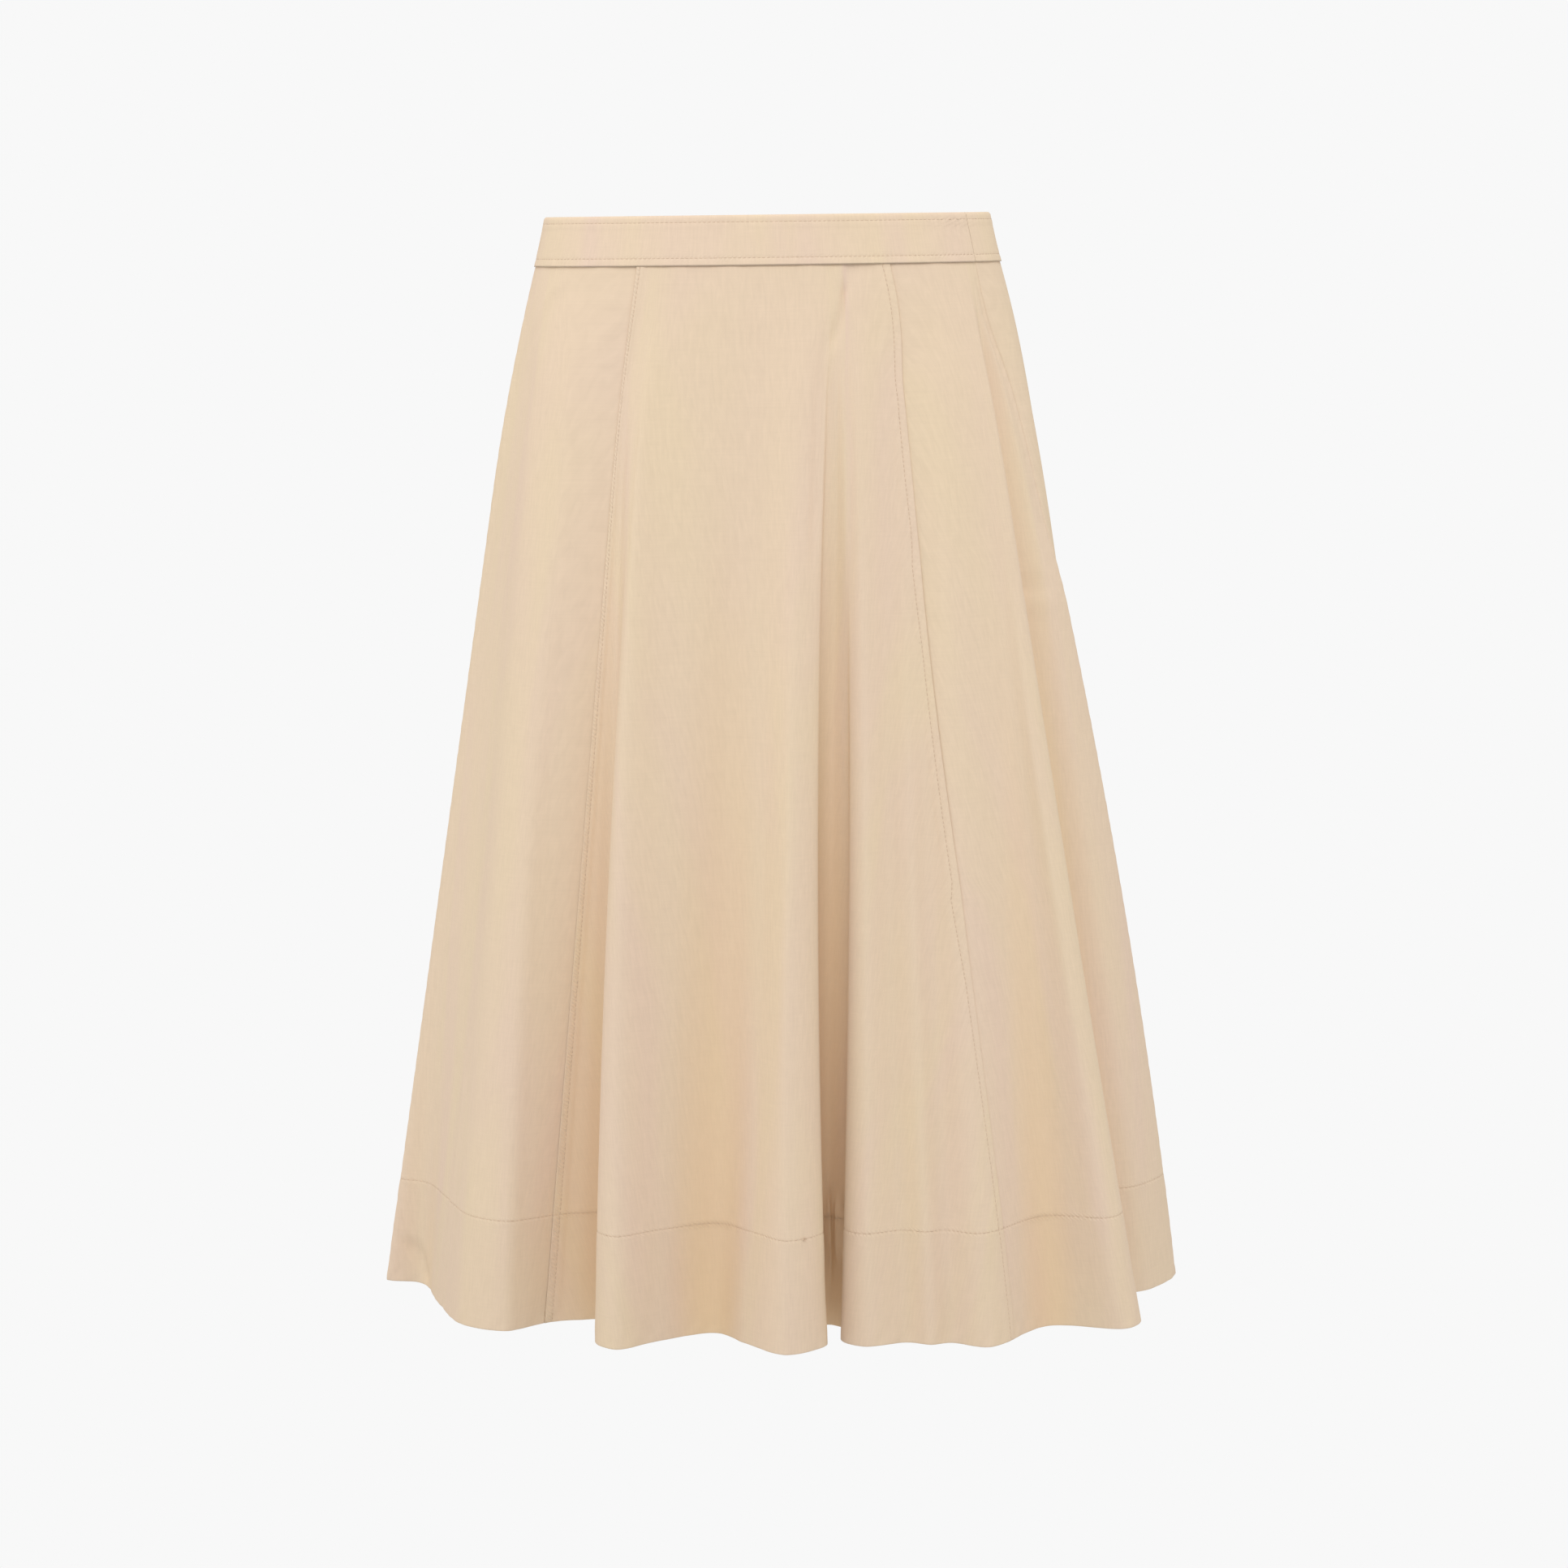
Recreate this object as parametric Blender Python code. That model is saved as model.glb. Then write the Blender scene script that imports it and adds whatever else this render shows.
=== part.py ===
"""Flared midi skirt of seven gores on a straight waistband, filled out as on a figure.

Metres, +Z up. The front faces -Y and the wearer's left is +X. The origin is the middle of the
waist opening, level with the band's top edge, so the skirt hangs from Z 0 down to -DROP.

Every wall is read from one surface: skirt_place(cut, drop) gives the outside of the cloth at a
place along the hem and a drop below the band's top edge. A smooth oval widens from waist to hem,
and the fold table says how far each fold line stands off it.
"""
import math
from collections import namedtuple

import bmesh
import bpy
import numpy as np
from mathutils import Matrix, Vector

# Driving sizes
DROP = 0.750                # band's top edge down to the hem
BAND_DEEP = 0.0335          # depth of the waistband
HEM_DEEP = 0.075            # how far the hem is turned up inside
CLOTH = 0.0010              # one layer of cloth
GAP = 0.0003                # between pieces, and between a folded layer and its neighbour
TUCKED_IN = 0.008           # how far the gores reach up inside the band
WAIST_WIDE, WAIST_DEEP = 0.3026, 0.1450     # oval of the skirt at the band's top edge
SEAM_WIDE, SEAM_DEEP = 0.3180, 0.1550       # and at the band's lower edge
HEM_WIDE, HEM_OVAL_DEEP = 0.5650, 0.3000    # the oval that the flutes stand off at the hem
HIP_HOLLOW = 0.0088         # how far the side line runs inside a straight line at the waist
HIP_DROP = 0.155            # where that hollow has run out, below the band
MID_SHARE = 0.47            # share of the drop at which the lean column is measured
PLAIN_SHARE = 0.12          # share of the drop over which the folds come out of the plain oval

# One row for each fold line, round the skirt from the wearer's right side past the front.
# angle: where it leaves the waist, degrees from the middle of the front
# across, out: where it ends at the hem, to the wearer's left and towards the front
# begins: share of the drop above which the fold has not begun
# lean: how far it runs to the wearer's left of its straight line at mid height
# A row with no angle is a bend inside a fold, in line between its neighbours until it begins.
Fold = namedtuple("Fold", "name angle across out begins lean")
FOLDS = [Fold(*row) for row in (
    ("seam_side_right", -84.0, -0.281, -0.018, 0.00, 0.000),
    ("notch_front_right", None, -0.256, -0.008, 0.50, None),
    ("turn_front_right", None, -0.239, 0.046, 0.20, None),
    ("crest_right_outer", -63.0, -0.217, 0.104, 0.00, -0.002),
    ("crest_right_inner", -49.0, -0.187, 0.121, 0.00, -0.009),
    ("sag_right", None, -0.1765, 0.115, 0.05, None),
    ("seam_front_right", -33.4, -0.162, 0.102, 0.00, 0.000),
    ("valley_right", None, -0.150, 0.0965, 0.15, None),
    ("tuck_crest", None, -0.139, 0.095, 0.12, None),
    ("tuck_back", None, -0.119, 0.095, 0.12, None),
    ("tuck_turn", None, -0.106, 0.121, 0.16, None),
    ("lip_centre_right", None, -0.125, 0.150, 0.12, None),
    ("crest_centre_right", -27.0, -0.110, 0.170, 0.02, -0.009),
    ("fall_centre", -22.0, -0.082, 0.150, 0.02, -0.001),
    ("dip_centre", -10.0, -0.044, 0.132, 0.02, 0.004),
    ("rise_centre", -1.0, -0.024, 0.158, 0.02, 0.007),
    ("crest_centre_left", 8.0, 0.004, 0.188, 0.00, -0.002),
    ("lip_centre_left", 14.5, 0.0312, 0.164, 0.00, -0.0075),
    ("wall_of_centre", None, 0.021, 0.142, 0.02, None),
    ("valley_left_back", None, 0.023, 0.121, 0.06, None),
    ("valley_left_turn", None, 0.033, 0.115, 0.07, None),
    ("wall_of_left", None, 0.049, 0.134, 0.12, None),
    ("lip_left", 18.5, 0.0405, 0.154, 0.00, 0.004),
    ("crest_left_lip", 21.0, 0.056, 0.170, 0.00, 0.002),
    ("dip_left", 29.6, 0.085, 0.161, 0.04, -0.006),
    ("swell_left", None, 0.101, 0.1675, 0.03, None),
    ("hollow_left", None, 0.114, 0.163, 0.03, None),
    ("crest_left_inner", 43.5, 0.139, 0.175, 0.00, -0.005),
    ("dip_left_outer", 50.0, 0.183, 0.124, 0.02, 0.010),
    ("crest_left_outer", 55.0, 0.233, 0.134, 0.03, -0.004),
    ("lip_left_outer", None, 0.2455, 0.116, 0.00, None),
    ("tuck_left_outer", None, 0.230, 0.052, -0.10, None),
    ("side_panel", None, 0.258, 0.034, 0.12, None),
    ("seam_side_left", 62.0, 0.281, -0.012, 0.00, 0.013),
    ("notch_back_left", None, 0.262, -0.042, 0.15, None),
    ("turn_back_left", 82.0, 0.274, -0.078, 0.10, 0.000),
    ("crest_back_left_1", 97.0, 0.262, -0.114, 0.00, 0.000),
    ("valley_back_left", None, 0.236, -0.100, 0.10, None),
    ("crest_back_left_2", 124.0, 0.224, -0.142, 0.00, 0.000),
    ("crest_back_left_3", 136.0, 0.202, -0.147, 0.00, 0.000),
    ("seam_back_left", 149.0, 0.180, -0.102, 0.00, 0.000),
    ("rise_back_left", None, 0.158, -0.128, 0.05, None),
    ("crest_back_1", 158.0, 0.134, -0.170, 0.05, 0.000),
    ("crest_back_2", 162.0, 0.104, -0.172, 0.05, 0.000),
    ("valley_back_1", None, 0.078, -0.112, 0.12, None),
    ("valley_back_2", None, 0.056, -0.114, 0.12, None),
    ("crest_back_3", 174.0, 0.030, -0.174, 0.05, 0.000),
    ("seam_centre_back", 180.0, 0.006, -0.183, 0.00, 0.000),
    ("crest_back_4", 186.0, -0.018, -0.178, 0.05, 0.000),
    ("valley_back_3", None, -0.048, -0.114, 0.12, None),
    ("valley_back_4", None, -0.072, -0.110, 0.12, None),
    ("crest_back_5", 198.0, -0.106, -0.168, 0.05, 0.000),
    ("crest_back_6", 203.0, -0.142, -0.164, 0.05, 0.000),
    ("seam_back_right", 212.0, -0.180, -0.100, 0.00, 0.000),
    ("crest_back_right_1", 225.0, -0.208, -0.134, 0.00, 0.000),
    ("crest_back_right_2", 238.0, -0.246, -0.130, 0.00, 0.000),
    ("turn_back_right", 253.0, -0.272, -0.086, 0.10, 0.000),
    ("notch_back_right", None, -0.260, -0.048, 0.15, None),
)]

# The front left seam crosses the folds: at the waist it starts further round to the right.
SLANT_SEAM_AFTER = "crest_left_inner"   # at the hem it lies past this fold,
SLANT_SEAM_PAST = 0.029                 # by this much of the hem,
SLANT_SEAM_BACK = 0.082                 # and at the waist it starts this much further back
SLANT_FALL = 1.2                        # how fast it comes round
SLANT_REACH_RIGHT, SLANT_REACH_LEFT = 0.190, 0.150      # the cloth either side that moves with it

# Hem of a gore, and heights of the rings that its wall is drawn through
RING_DROPS = (BAND_DEEP - TUCKED_IN, BAND_DEEP, 0.070, 0.130, 0.200, 0.280,
              0.360, 0.440, 0.520, 0.600, DROP - HEM_DEEP, DROP - 0.0015)
COLUMN_WIDE = 0.0135        # widest column of a wall at the hem
COLUMN_LEAST = 0.003        # a fold line nearer than this to a seam gets no column
BAND_STEP = 6.5             # degrees of the waist oval to a column of the band
BAND_LEAST = 6              # fewest columns in a length of band

# Zip, hidden in the centre back seam
ZIP_LONG = 0.220            # from the band's top edge
TAPE_TOP = 0.0010           # the tapes start this far below the edge
TAPE_WIDE = 0.012
TAPE_EASE = 0.012           # below the band, the tapes come up against the gores over this much
NECK_THICK = 0.0009         # the slider's neck, which comes out through the seam
NECK_SLOT = NECK_THICK + 2 * GAP
PIN_DROP = 0.0065           # the pull's pin below the band's top edge
PIN_OUT = 0.0021            # and out from the band's face
PIN_RADIUS = 0.0005
EAR_RADIUS = 0.0016
EAR_THICK = 0.0010
PULL_LONG = 0.0150
PULL_WIDE = 0.0052
PULL_NECK = 0.0033
PULL_THICK = 0.0010
SLIDER_WIDE, SLIDER_THICK = 0.0052, 0.0020
SLIDER_RISE, SLIDER_FALL = 0.0050, 0.0060       # the slider's body above and below the pin
NECK_RISE = 0.0009          # half the neck's height, and its reach past the pin

COUNT = len(FOLDS)
HEM_ACROSS = np.array([fold.across for fold in FOLDS])
HEM_OUT = np.array([fold.out for fold in FOLDS])
BEGINS = np.array([fold.begins for fold in FOLDS])
SPAN = np.hypot(np.roll(HEM_ACROSS, -1) - HEM_ACROSS, np.roll(HEM_OUT, -1) - HEM_OUT)
START = np.concatenate([[0.0], np.cumsum(SPAN)])
HEM_ROUND = START[-1]
LINES = [row for row in range(COUNT) if FOLDS[row].angle is not None]
LINE_BEFORE = np.array([max(line for line in LINES if line <= row) for row in range(COUNT)])
LINE_AFTER = np.array([min([line for line in LINES if line >= row] + [COUNT]) for row in range(COUNT)])
BETWEEN = (START[:-1] - START[LINE_BEFORE]) / np.maximum(START[LINE_AFTER] - START[LINE_BEFORE], 1e-9)
LINE_AFTER = LINE_AFTER % COUNT


def between_lines(values, full_turn=0.0):
    """A value for every row, in line between the rows that have one of their own."""
    own = np.array([0.0 if value is None else value for value in values])
    after = own[LINE_AFTER] + np.where(LINE_AFTER < LINE_BEFORE, full_turn, 0.0)
    return own[LINE_BEFORE] + (after - own[LINE_BEFORE]) * BETWEEN


ANGLE = np.radians(between_lines([fold.angle for fold in FOLDS], 360.0))
LEAN = between_lines([fold.lean for fold in FOLDS])
SWING = HEM_ACROSS - HEM_WIDE / 2 * np.sin(ANGLE)
REACH = HEM_OUT - HEM_OVAL_DEEP / 2 * np.cos(ANGLE)
BEND_ACROSS = HEM_ACROSS - between_lines(HEM_ACROSS)
BEND_OUT = HEM_OUT - between_lines(HEM_OUT)


def cut_of(name):
    """Place of a fold line along the hem."""
    return START[[fold.name for fold in FOLDS].index(name)]


SLANT_SEAM = cut_of(SLANT_SEAM_AFTER) + SLANT_SEAM_PAST


# ---------------------------------------------------------------- the cloth's surface

def share_of(drop):
    """Share of the way from the band's lower edge to the hem."""
    return np.clip((drop - BAND_DEEP) / (DROP - BAND_DEEP), 0.0, 1.0)


def half_wide(drop):
    """Half width of the oval at a drop below the band's top edge."""
    in_band = (WAIST_WIDE + (SEAM_WIDE - WAIST_WIDE) * drop / BAND_DEEP) / 2
    line = SEAM_WIDE / 2 + HIP_HOLLOW
    below = line + (HEM_WIDE / 2 - line) * share_of(drop)
    below -= HIP_HOLLOW * np.clip(1 - (drop - BAND_DEEP) / HIP_DROP, 0.0, 1.0) ** 2
    return np.where(drop < BAND_DEEP, in_band, below)


def half_deep(drop):
    """Half depth of the oval, front to back."""
    in_band = (WAIST_DEEP + (SEAM_DEEP - WAIST_DEEP) * drop / BAND_DEEP) / 2
    below = (SEAM_DEEP + (HEM_OVAL_DEEP - SEAM_DEEP) * share_of(drop)) / 2
    return np.where(drop < BAND_DEEP, in_band, below)


def grown(row, share):
    """How far a row's fold has grown, from 0 where it begins to 1 at the hem."""
    begins = BEGINS[row]
    return np.clip((share - begins) / (1 - begins), 0.0, 1.0) ** (1 + 2 * begins)


def line_place(row, drop):
    """Where a fold line with its own angle stands at a drop: across and out."""
    share = share_of(drop)
    bow = share * (1 - share) / (MID_SHARE * (1 - MID_SHARE))
    across = half_wide(drop) * np.sin(ANGLE[row]) + SWING[row] * share + LEAN[row] * bow
    out = half_deep(drop) * np.cos(ANGLE[row]) + REACH[row] * grown(row, share)
    return np.stack([across, out])


def fold_place(row, drop):
    """Where any row stands: between the lines beside it, moved off by its own bend."""
    row = row % COUNT
    before = line_place(LINE_BEFORE[row], drop)
    after = line_place(LINE_AFTER[row], drop)
    bend = np.stack([BEND_ACROSS[row], BEND_OUT[row]]) * grown(row, share_of(drop))
    return before + (after - before) * BETWEEN[row] + bend


def row_angle(row):
    """Waist angle of a row, carried on past a full turn."""
    return ANGLE[row % COUNT] + 2 * math.pi * (row // COUNT)


def eased(start, leave, end, arrive, part):
    """Curve from start to end that leaves and arrives with the given slopes."""
    square, cube = part ** 2, part ** 3
    return ((2 * cube - 3 * square + 1) * start + (cube - 2 * square + part) * leave
            + (3 * square - 2 * cube) * end + (cube - square) * arrive)


def angle_between(row, part):
    """Waist angle part of the way from a row to the next, always rising."""
    before, start, end, after = (row_angle(row + step) for step in (-1, 0, 1, 2))
    rise_before = (start - before) / SPAN[(row - 1) % COUNT]
    rise = (end - start) / SPAN[row]
    rise_after = (after - end) / SPAN[(row + 1) % COUNT]
    leave = 2 * rise_before * rise / (rise_before + rise)
    arrive = 2 * rise * rise_after / (rise + rise_after)
    return eased(start, leave * SPAN[row], end, arrive * SPAN[row], part)


def curve_between(row, part, drop):
    """Smooth curve through the fold lines at a drop, part of the way from a row to the next."""
    before, start, end, after = (fold_place(row + step, drop) for step in (-1, 0, 1, 2))
    stretch = [np.sqrt(np.hypot(*(far - near))) + 1e-6
               for near, far in ((before, start), (start, end), (end, after))]
    leave = ((start - before) / stretch[0] * stretch[1] + (end - start) / stretch[1] * stretch[0])
    leave /= stretch[0] + stretch[1]
    arrive = ((end - start) / stretch[1] * stretch[2] + (after - end) / stretch[2] * stretch[1])
    arrive /= stretch[1] + stretch[2]
    return eased(start, leave * stretch[1], end, arrive * stretch[1], part)


def slide(cut, drop):
    """Moves the cloth beside the slanting seam round to where it hangs at this drop."""
    away = cut - SLANT_SEAM
    reach = np.where(away < 0, SLANT_REACH_RIGHT, SLANT_REACH_LEFT)
    near = np.cos(np.clip(away / reach, -1.0, 1.0) * math.pi / 2) ** 2
    return cut - SLANT_SEAM_BACK * (1 - share_of(drop)) ** SLANT_FALL * near


def skirt_place(cut, drop):
    """Outside of the cloth: cut is a place along the hem, drop a height. Arrays of x, y, z."""
    cut, drop = np.broadcast_arrays(np.asarray(cut, float), np.asarray(drop, float))
    along = slide(cut, drop) % HEM_ROUND
    row = np.clip(np.searchsorted(START, along, side="right") - 1, 0, COUNT - 1)
    part = (along - START[row]) / SPAN[row]
    angle = angle_between(row, part)
    across, out = curve_between(row, part, drop)
    near_band = np.clip(share_of(drop) / PLAIN_SHARE, 0.0, 1.0)
    folded = near_band ** 2 * (3 - 2 * near_band)
    oval_across = half_wide(drop) * np.sin(angle)
    oval_out = half_deep(drop) * np.cos(angle)
    across = oval_across + (across - oval_across) * folded
    out = oval_out + (out - oval_out) * folded
    return np.stack([across, -out, -drop], axis=-1)


def skirt_out(cut, drop):
    """Unit direction out of the cloth."""
    step = 0.0004
    cut, drop = np.broadcast_arrays(np.asarray(cut, float), np.asarray(drop, float))
    low = np.maximum(drop - step, 0.0)
    high = np.minimum(drop + step, DROP)
    round_it = skirt_place(cut + step, drop) - skirt_place(cut - step, drop)
    down_it = skirt_place(cut, high) - skirt_place(cut, low)
    out = np.cross(down_it, round_it)
    return out / np.linalg.norm(out, axis=-1, keepdims=True)


def inside_of(cut, drop, inset):
    """A point of the cloth moved inwards from the outside face."""
    return skirt_place(cut, drop) - skirt_out(cut, drop) * np.asarray(inset)[..., None]


def parted(cut, drop, apart):
    """The place along the hem that lies the distance apart from cut, measured at this drop."""
    step = 0.0005
    side = skirt_place(cut + step, drop) - skirt_place(cut - step, drop)
    return cut + apart * 2 * step / np.linalg.norm(side, axis=-1)


# ---------------------------------------------------------------- building

def start_empty():
    for item in list(bpy.data.objects):
        bpy.data.objects.remove(item, do_unlink=True)


def material(name, colour, roughness, metallic=0.0):
    made = bpy.data.materials.new(name)
    made.use_nodes = True
    shader = made.node_tree.nodes["Principled BSDF"]
    shader.inputs["Base Color"].default_value = (*colour, 1.0)
    shader.inputs["Roughness"].default_value = roughness
    shader.inputs["Metallic"].default_value = metallic
    made.diffuse_color = (*colour, 1.0)
    return made


def keep(mesh_data, name, look):
    """Puts finished mesh data in the scene as a named object with its own material."""
    made = bpy.data.objects.new(name, mesh_data)
    made.data.materials.clear()
    made.data.materials.append(look)
    bpy.context.collection.objects.link(made)
    made.data.shade_smooth()
    made.data.set_sharp_from_angle(angle=math.radians(40))
    return made


def swept_wall(name, points, end_faces, look):
    """Closed wall from points[profile, column]: the profile's loop swept along the columns.

    end_faces are the profile indices of each face that closes an end."""
    mesh = bmesh.new()
    rows, columns = points.shape[:2]
    corners = [[mesh.verts.new(points[row, column]) for column in range(columns)] for row in range(rows)]
    for row in range(rows):
        other = (row + 1) % rows
        for column in range(columns - 1):
            mesh.faces.new((corners[row][column], corners[row][column + 1],
                            corners[other][column + 1], corners[other][column]))
    for column in (0, columns - 1):
        for face in end_faces:
            mesh.faces.new([corners[row][column] for row in face])
    bmesh.ops.recalc_face_normals(mesh, faces=mesh.faces)
    bmesh.ops.triangulate(mesh, faces=mesh.faces)
    data = bpy.data.meshes.new(name)
    mesh.to_mesh(data)
    mesh.free()
    return keep(data, name, look)


def gore_columns(start, end):
    """Places along the hem from seam to seam: every fold line, and enough between them."""
    if end < start:
        end += HEM_ROUND
    marks = [start]
    for turn in (0.0, HEM_ROUND):
        marks += [mark + turn for mark in START[:-1]
                  if start + COLUMN_LEAST < mark + turn < end - COLUMN_LEAST]
    marks = sorted(marks) + [end]
    columns = []
    for left, right in zip(marks, marks[1:]):
        pieces = max(1, math.ceil((right - left) / COLUMN_WIDE))
        columns += [left + (right - left) * step / pieces for step in range(pieces)]
    return np.array(columns + [end])


def seam_columns(columns, drop):
    """The columns at one drop, with the first and last drawn back by half the seam's gap."""
    placed = columns.copy()
    placed[0] = parted(columns[0], drop, GAP / 2)
    placed[-1] = parted(columns[-1], drop, -GAP / 2)
    return placed


def gore(name, start, end, look):
    """One gore: a wall from inside the band to the hem, with its hem turned up inside."""
    columns = gore_columns(start, end)
    turned = 2 * CLOTH + GAP
    behind = CLOTH + GAP
    fold_top, fold_low = RING_DROPS[-2], RING_DROPS[-1]
    profile = [(drop, 0.0) for drop in RING_DROPS]
    profile += [(DROP, turned / 2), (fold_low, turned), (fold_top, turned)]
    profile += [(fold_top, behind), (fold_low, behind)]
    profile += [(drop, CLOTH) for drop in reversed(RING_DROPS)]
    points = np.array([inside_of(seam_columns(columns, drop), drop, np.full(len(columns), inset))
                       for drop, inset in profile])
    rings = len(RING_DROPS)
    last = len(profile) - 1
    bottom, inner_low, inner_top, slot_top, slot_low = range(rings, rings + 5)
    ends = [(ring, ring + 1, last - ring - 1, last - ring) for ring in range(rings - 1)]
    ends += [(slot_top, slot_low, inner_low, inner_top), (rings - 1, bottom, slot_low + 1),
             (slot_low + 1, bottom, slot_low), (slot_low, bottom, inner_low)]
    return swept_wall(name, points, ends, look)


def band(name, first_angle, last_angle, end_gaps, look):
    """One length of the waistband: folded down over the gores' top edges, inside and outside."""
    pieces = max(BAND_LEAST, round((last_angle - first_angle) / BAND_STEP))
    angles = np.radians(np.linspace(first_angle, last_angle, pieces + 1))
    lap = GAP + CLOTH
    slot_top = BAND_DEEP - TUCKED_IN - GAP
    profile = ((0.0, lap), (BAND_DEEP / 2, lap), (BAND_DEEP, lap), (BAND_DEEP, GAP), (slot_top, GAP),
               (slot_top, -CLOTH - GAP), (BAND_DEEP, -CLOTH - GAP), (BAND_DEEP, -CLOTH - lap),
               (BAND_DEEP / 2, -CLOTH - lap), (0.0, -CLOTH - lap))
    points = np.array([oval_ring(angles, end_gaps, drop, proud) for drop, proud in profile])
    ends = ((0, 1, 8, 9), (1, 4, 5, 8), (1, 2, 3, 4), (5, 6, 7, 8))
    return swept_wall(name, points, ends, look)


def oval_ring(angles, end_gaps, drop, proud):
    """Points round the waist oval moved out by proud, with each end drawn back from its joint."""
    wide, deep = float(half_wide(drop)), float(half_deep(drop))
    placed = angles.copy()
    for index, gap in ((0, end_gaps[0]), (-1, -end_gaps[1])):
        speed = math.hypot(wide * math.cos(placed[index]), deep * math.sin(placed[index]))
        placed[index] += gap / 2 / speed
    out = np.stack([deep * np.sin(placed), -wide * np.cos(placed)], axis=-1)
    out /= np.linalg.norm(out, axis=-1, keepdims=True)
    ring = np.stack([wide * np.sin(placed), -deep * np.cos(placed)], axis=-1) + out * proud
    return np.concatenate([ring, np.full((len(placed), 1), -drop)], axis=-1)


def tape(name, side, look):
    """Half of the zip's tape, inside the centre back seam. side: +1 wearer's left, -1 right."""
    below = BAND_DEEP + TAPE_EASE
    drops = np.array([TAPE_TOP, 0.015, BAND_DEEP, below, 0.070, 0.100, 0.130, 0.160, 0.190, ZIP_LONG])
    centre = cut_of("seam_centre_back")
    in_band = 2 * CLOTH + 3 * GAP
    inset = np.interp(drops, (BAND_DEEP, below), (in_band, CLOTH + GAP))
    near = np.interp(drops, (BAND_DEEP, below), (NECK_SLOT / 2, GAP / 2))
    inner = parted(centre, drops, -side * near)
    outer = parted(centre, drops, -side * TAPE_WIDE)
    points = np.array([[inside_of(cut[step], drops[step], inset[step] + deeper)
                        for step in range(len(drops))]
                       for cut, deeper in ((inner, 0.0), (outer, 0.0), (outer, CLOTH), (inner, CLOTH))])
    return swept_wall(name, points, ((0, 1, 2, 3),), look)


def box(name, low, high):
    """Axis-aligned block between two corners."""
    bpy.ops.mesh.primitive_cube_add(size=1.0)
    made = bpy.context.object
    made.name = name
    middle = [(a + b) / 2 for a, b in zip(low, high)]
    made.data.transform(Matrix.Diagonal([b - a for a, b in zip(low, high)] + [1.0]))
    made.data.transform(Matrix.Translation(middle))
    return made


def rod(name, centre, radius, length):
    """Round bar along X."""
    bpy.ops.mesh.primitive_cylinder_add(vertices=16, radius=radius, depth=length)
    made = bpy.context.object
    made.name = name
    made.data.transform(Matrix.Rotation(math.radians(90), 4, "Y"))
    made.data.transform(Matrix.Translation(centre))
    return made


def combine(base, other, operation):
    """Booleans other into base and removes it."""
    cut = base.modifiers.new(operation.lower(), "BOOLEAN")
    cut.operation = operation
    cut.object = other
    bpy.context.view_layer.objects.active = base
    bpy.ops.object.modifier_apply(modifier=cut.name)
    bpy.data.objects.remove(other, do_unlink=True)


def finish_solid(made, name, look):
    data = made.data
    bpy.data.objects.remove(made, do_unlink=True)
    data.name = name
    return keep(data, name, look)


def band_lean():
    """How far the band's face leans out from upright at the middle of the back."""
    return math.atan((SEAM_DEEP - WAIST_DEEP) / 2 / BAND_DEEP)


def pin_place():
    """The pull's pin: middle of the back, out from the band's face."""
    face = float(half_deep(PIN_DROP)) + GAP + CLOTH
    return Vector((0.0, face + PIN_OUT, -PIN_DROP))


def hang(made, lean):
    """Carries a piece made round the origin to the pin, leaning out by an angle."""
    made.data.transform(Matrix.Translation(pin_place()) @ Matrix.Rotation(lean, 4, "X"))


def slider(look):
    """Slider body inside the band, its neck through the seam, and the pin that carries the pull."""
    behind = -(PIN_OUT + 4 * CLOTH + 5 * GAP)
    made = box("slider_body", (-SLIDER_WIDE / 2, behind - SLIDER_THICK, -SLIDER_FALL),
               (SLIDER_WIDE / 2, behind, SLIDER_RISE))
    neck = box("slider_neck", (-NECK_THICK / 2, behind - SLIDER_THICK / 2, -NECK_RISE),
               (NECK_THICK / 2, NECK_RISE, NECK_RISE))
    combine(made, neck, "UNION")
    pin = rod("slider_pin", (0.0, 0.0, 0.0), PIN_RADIUS, NECK_SLOT + 2 * EAR_THICK + 2 * GAP)
    combine(made, pin, "UNION")
    hang(made, band_lean())
    return finish_solid(made, "zip_slider", look)


def pull(look):
    """Drop-shaped pull: two ears on the pin, and a plate whose foot rests against the band."""
    ear_in, ear_out = NECK_SLOT / 2, NECK_SLOT / 2 + EAR_THICK
    deep = 2 * EAR_RADIUS
    made = rod("pull_ears", (0.0, 0.0, 0.0), EAR_RADIUS, 2 * ear_out)
    combine(made, plate(), "UNION")
    combine(made, box("pull_slot", (-ear_in, -deep, -EAR_RADIUS - GAP), (ear_in, deep, deep)), "DIFFERENCE")
    combine(made, rod("pull_eye", (0.0, 0.0, 0.0), PIN_RADIUS + GAP, 3 * ear_out), "DIFFERENCE")
    to_face = PIN_OUT - PULL_THICK / 2 - GAP
    hang(made, band_lean() - math.asin(to_face / PULL_LONG))
    return finish_solid(made, "zip_pull", look)


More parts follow.
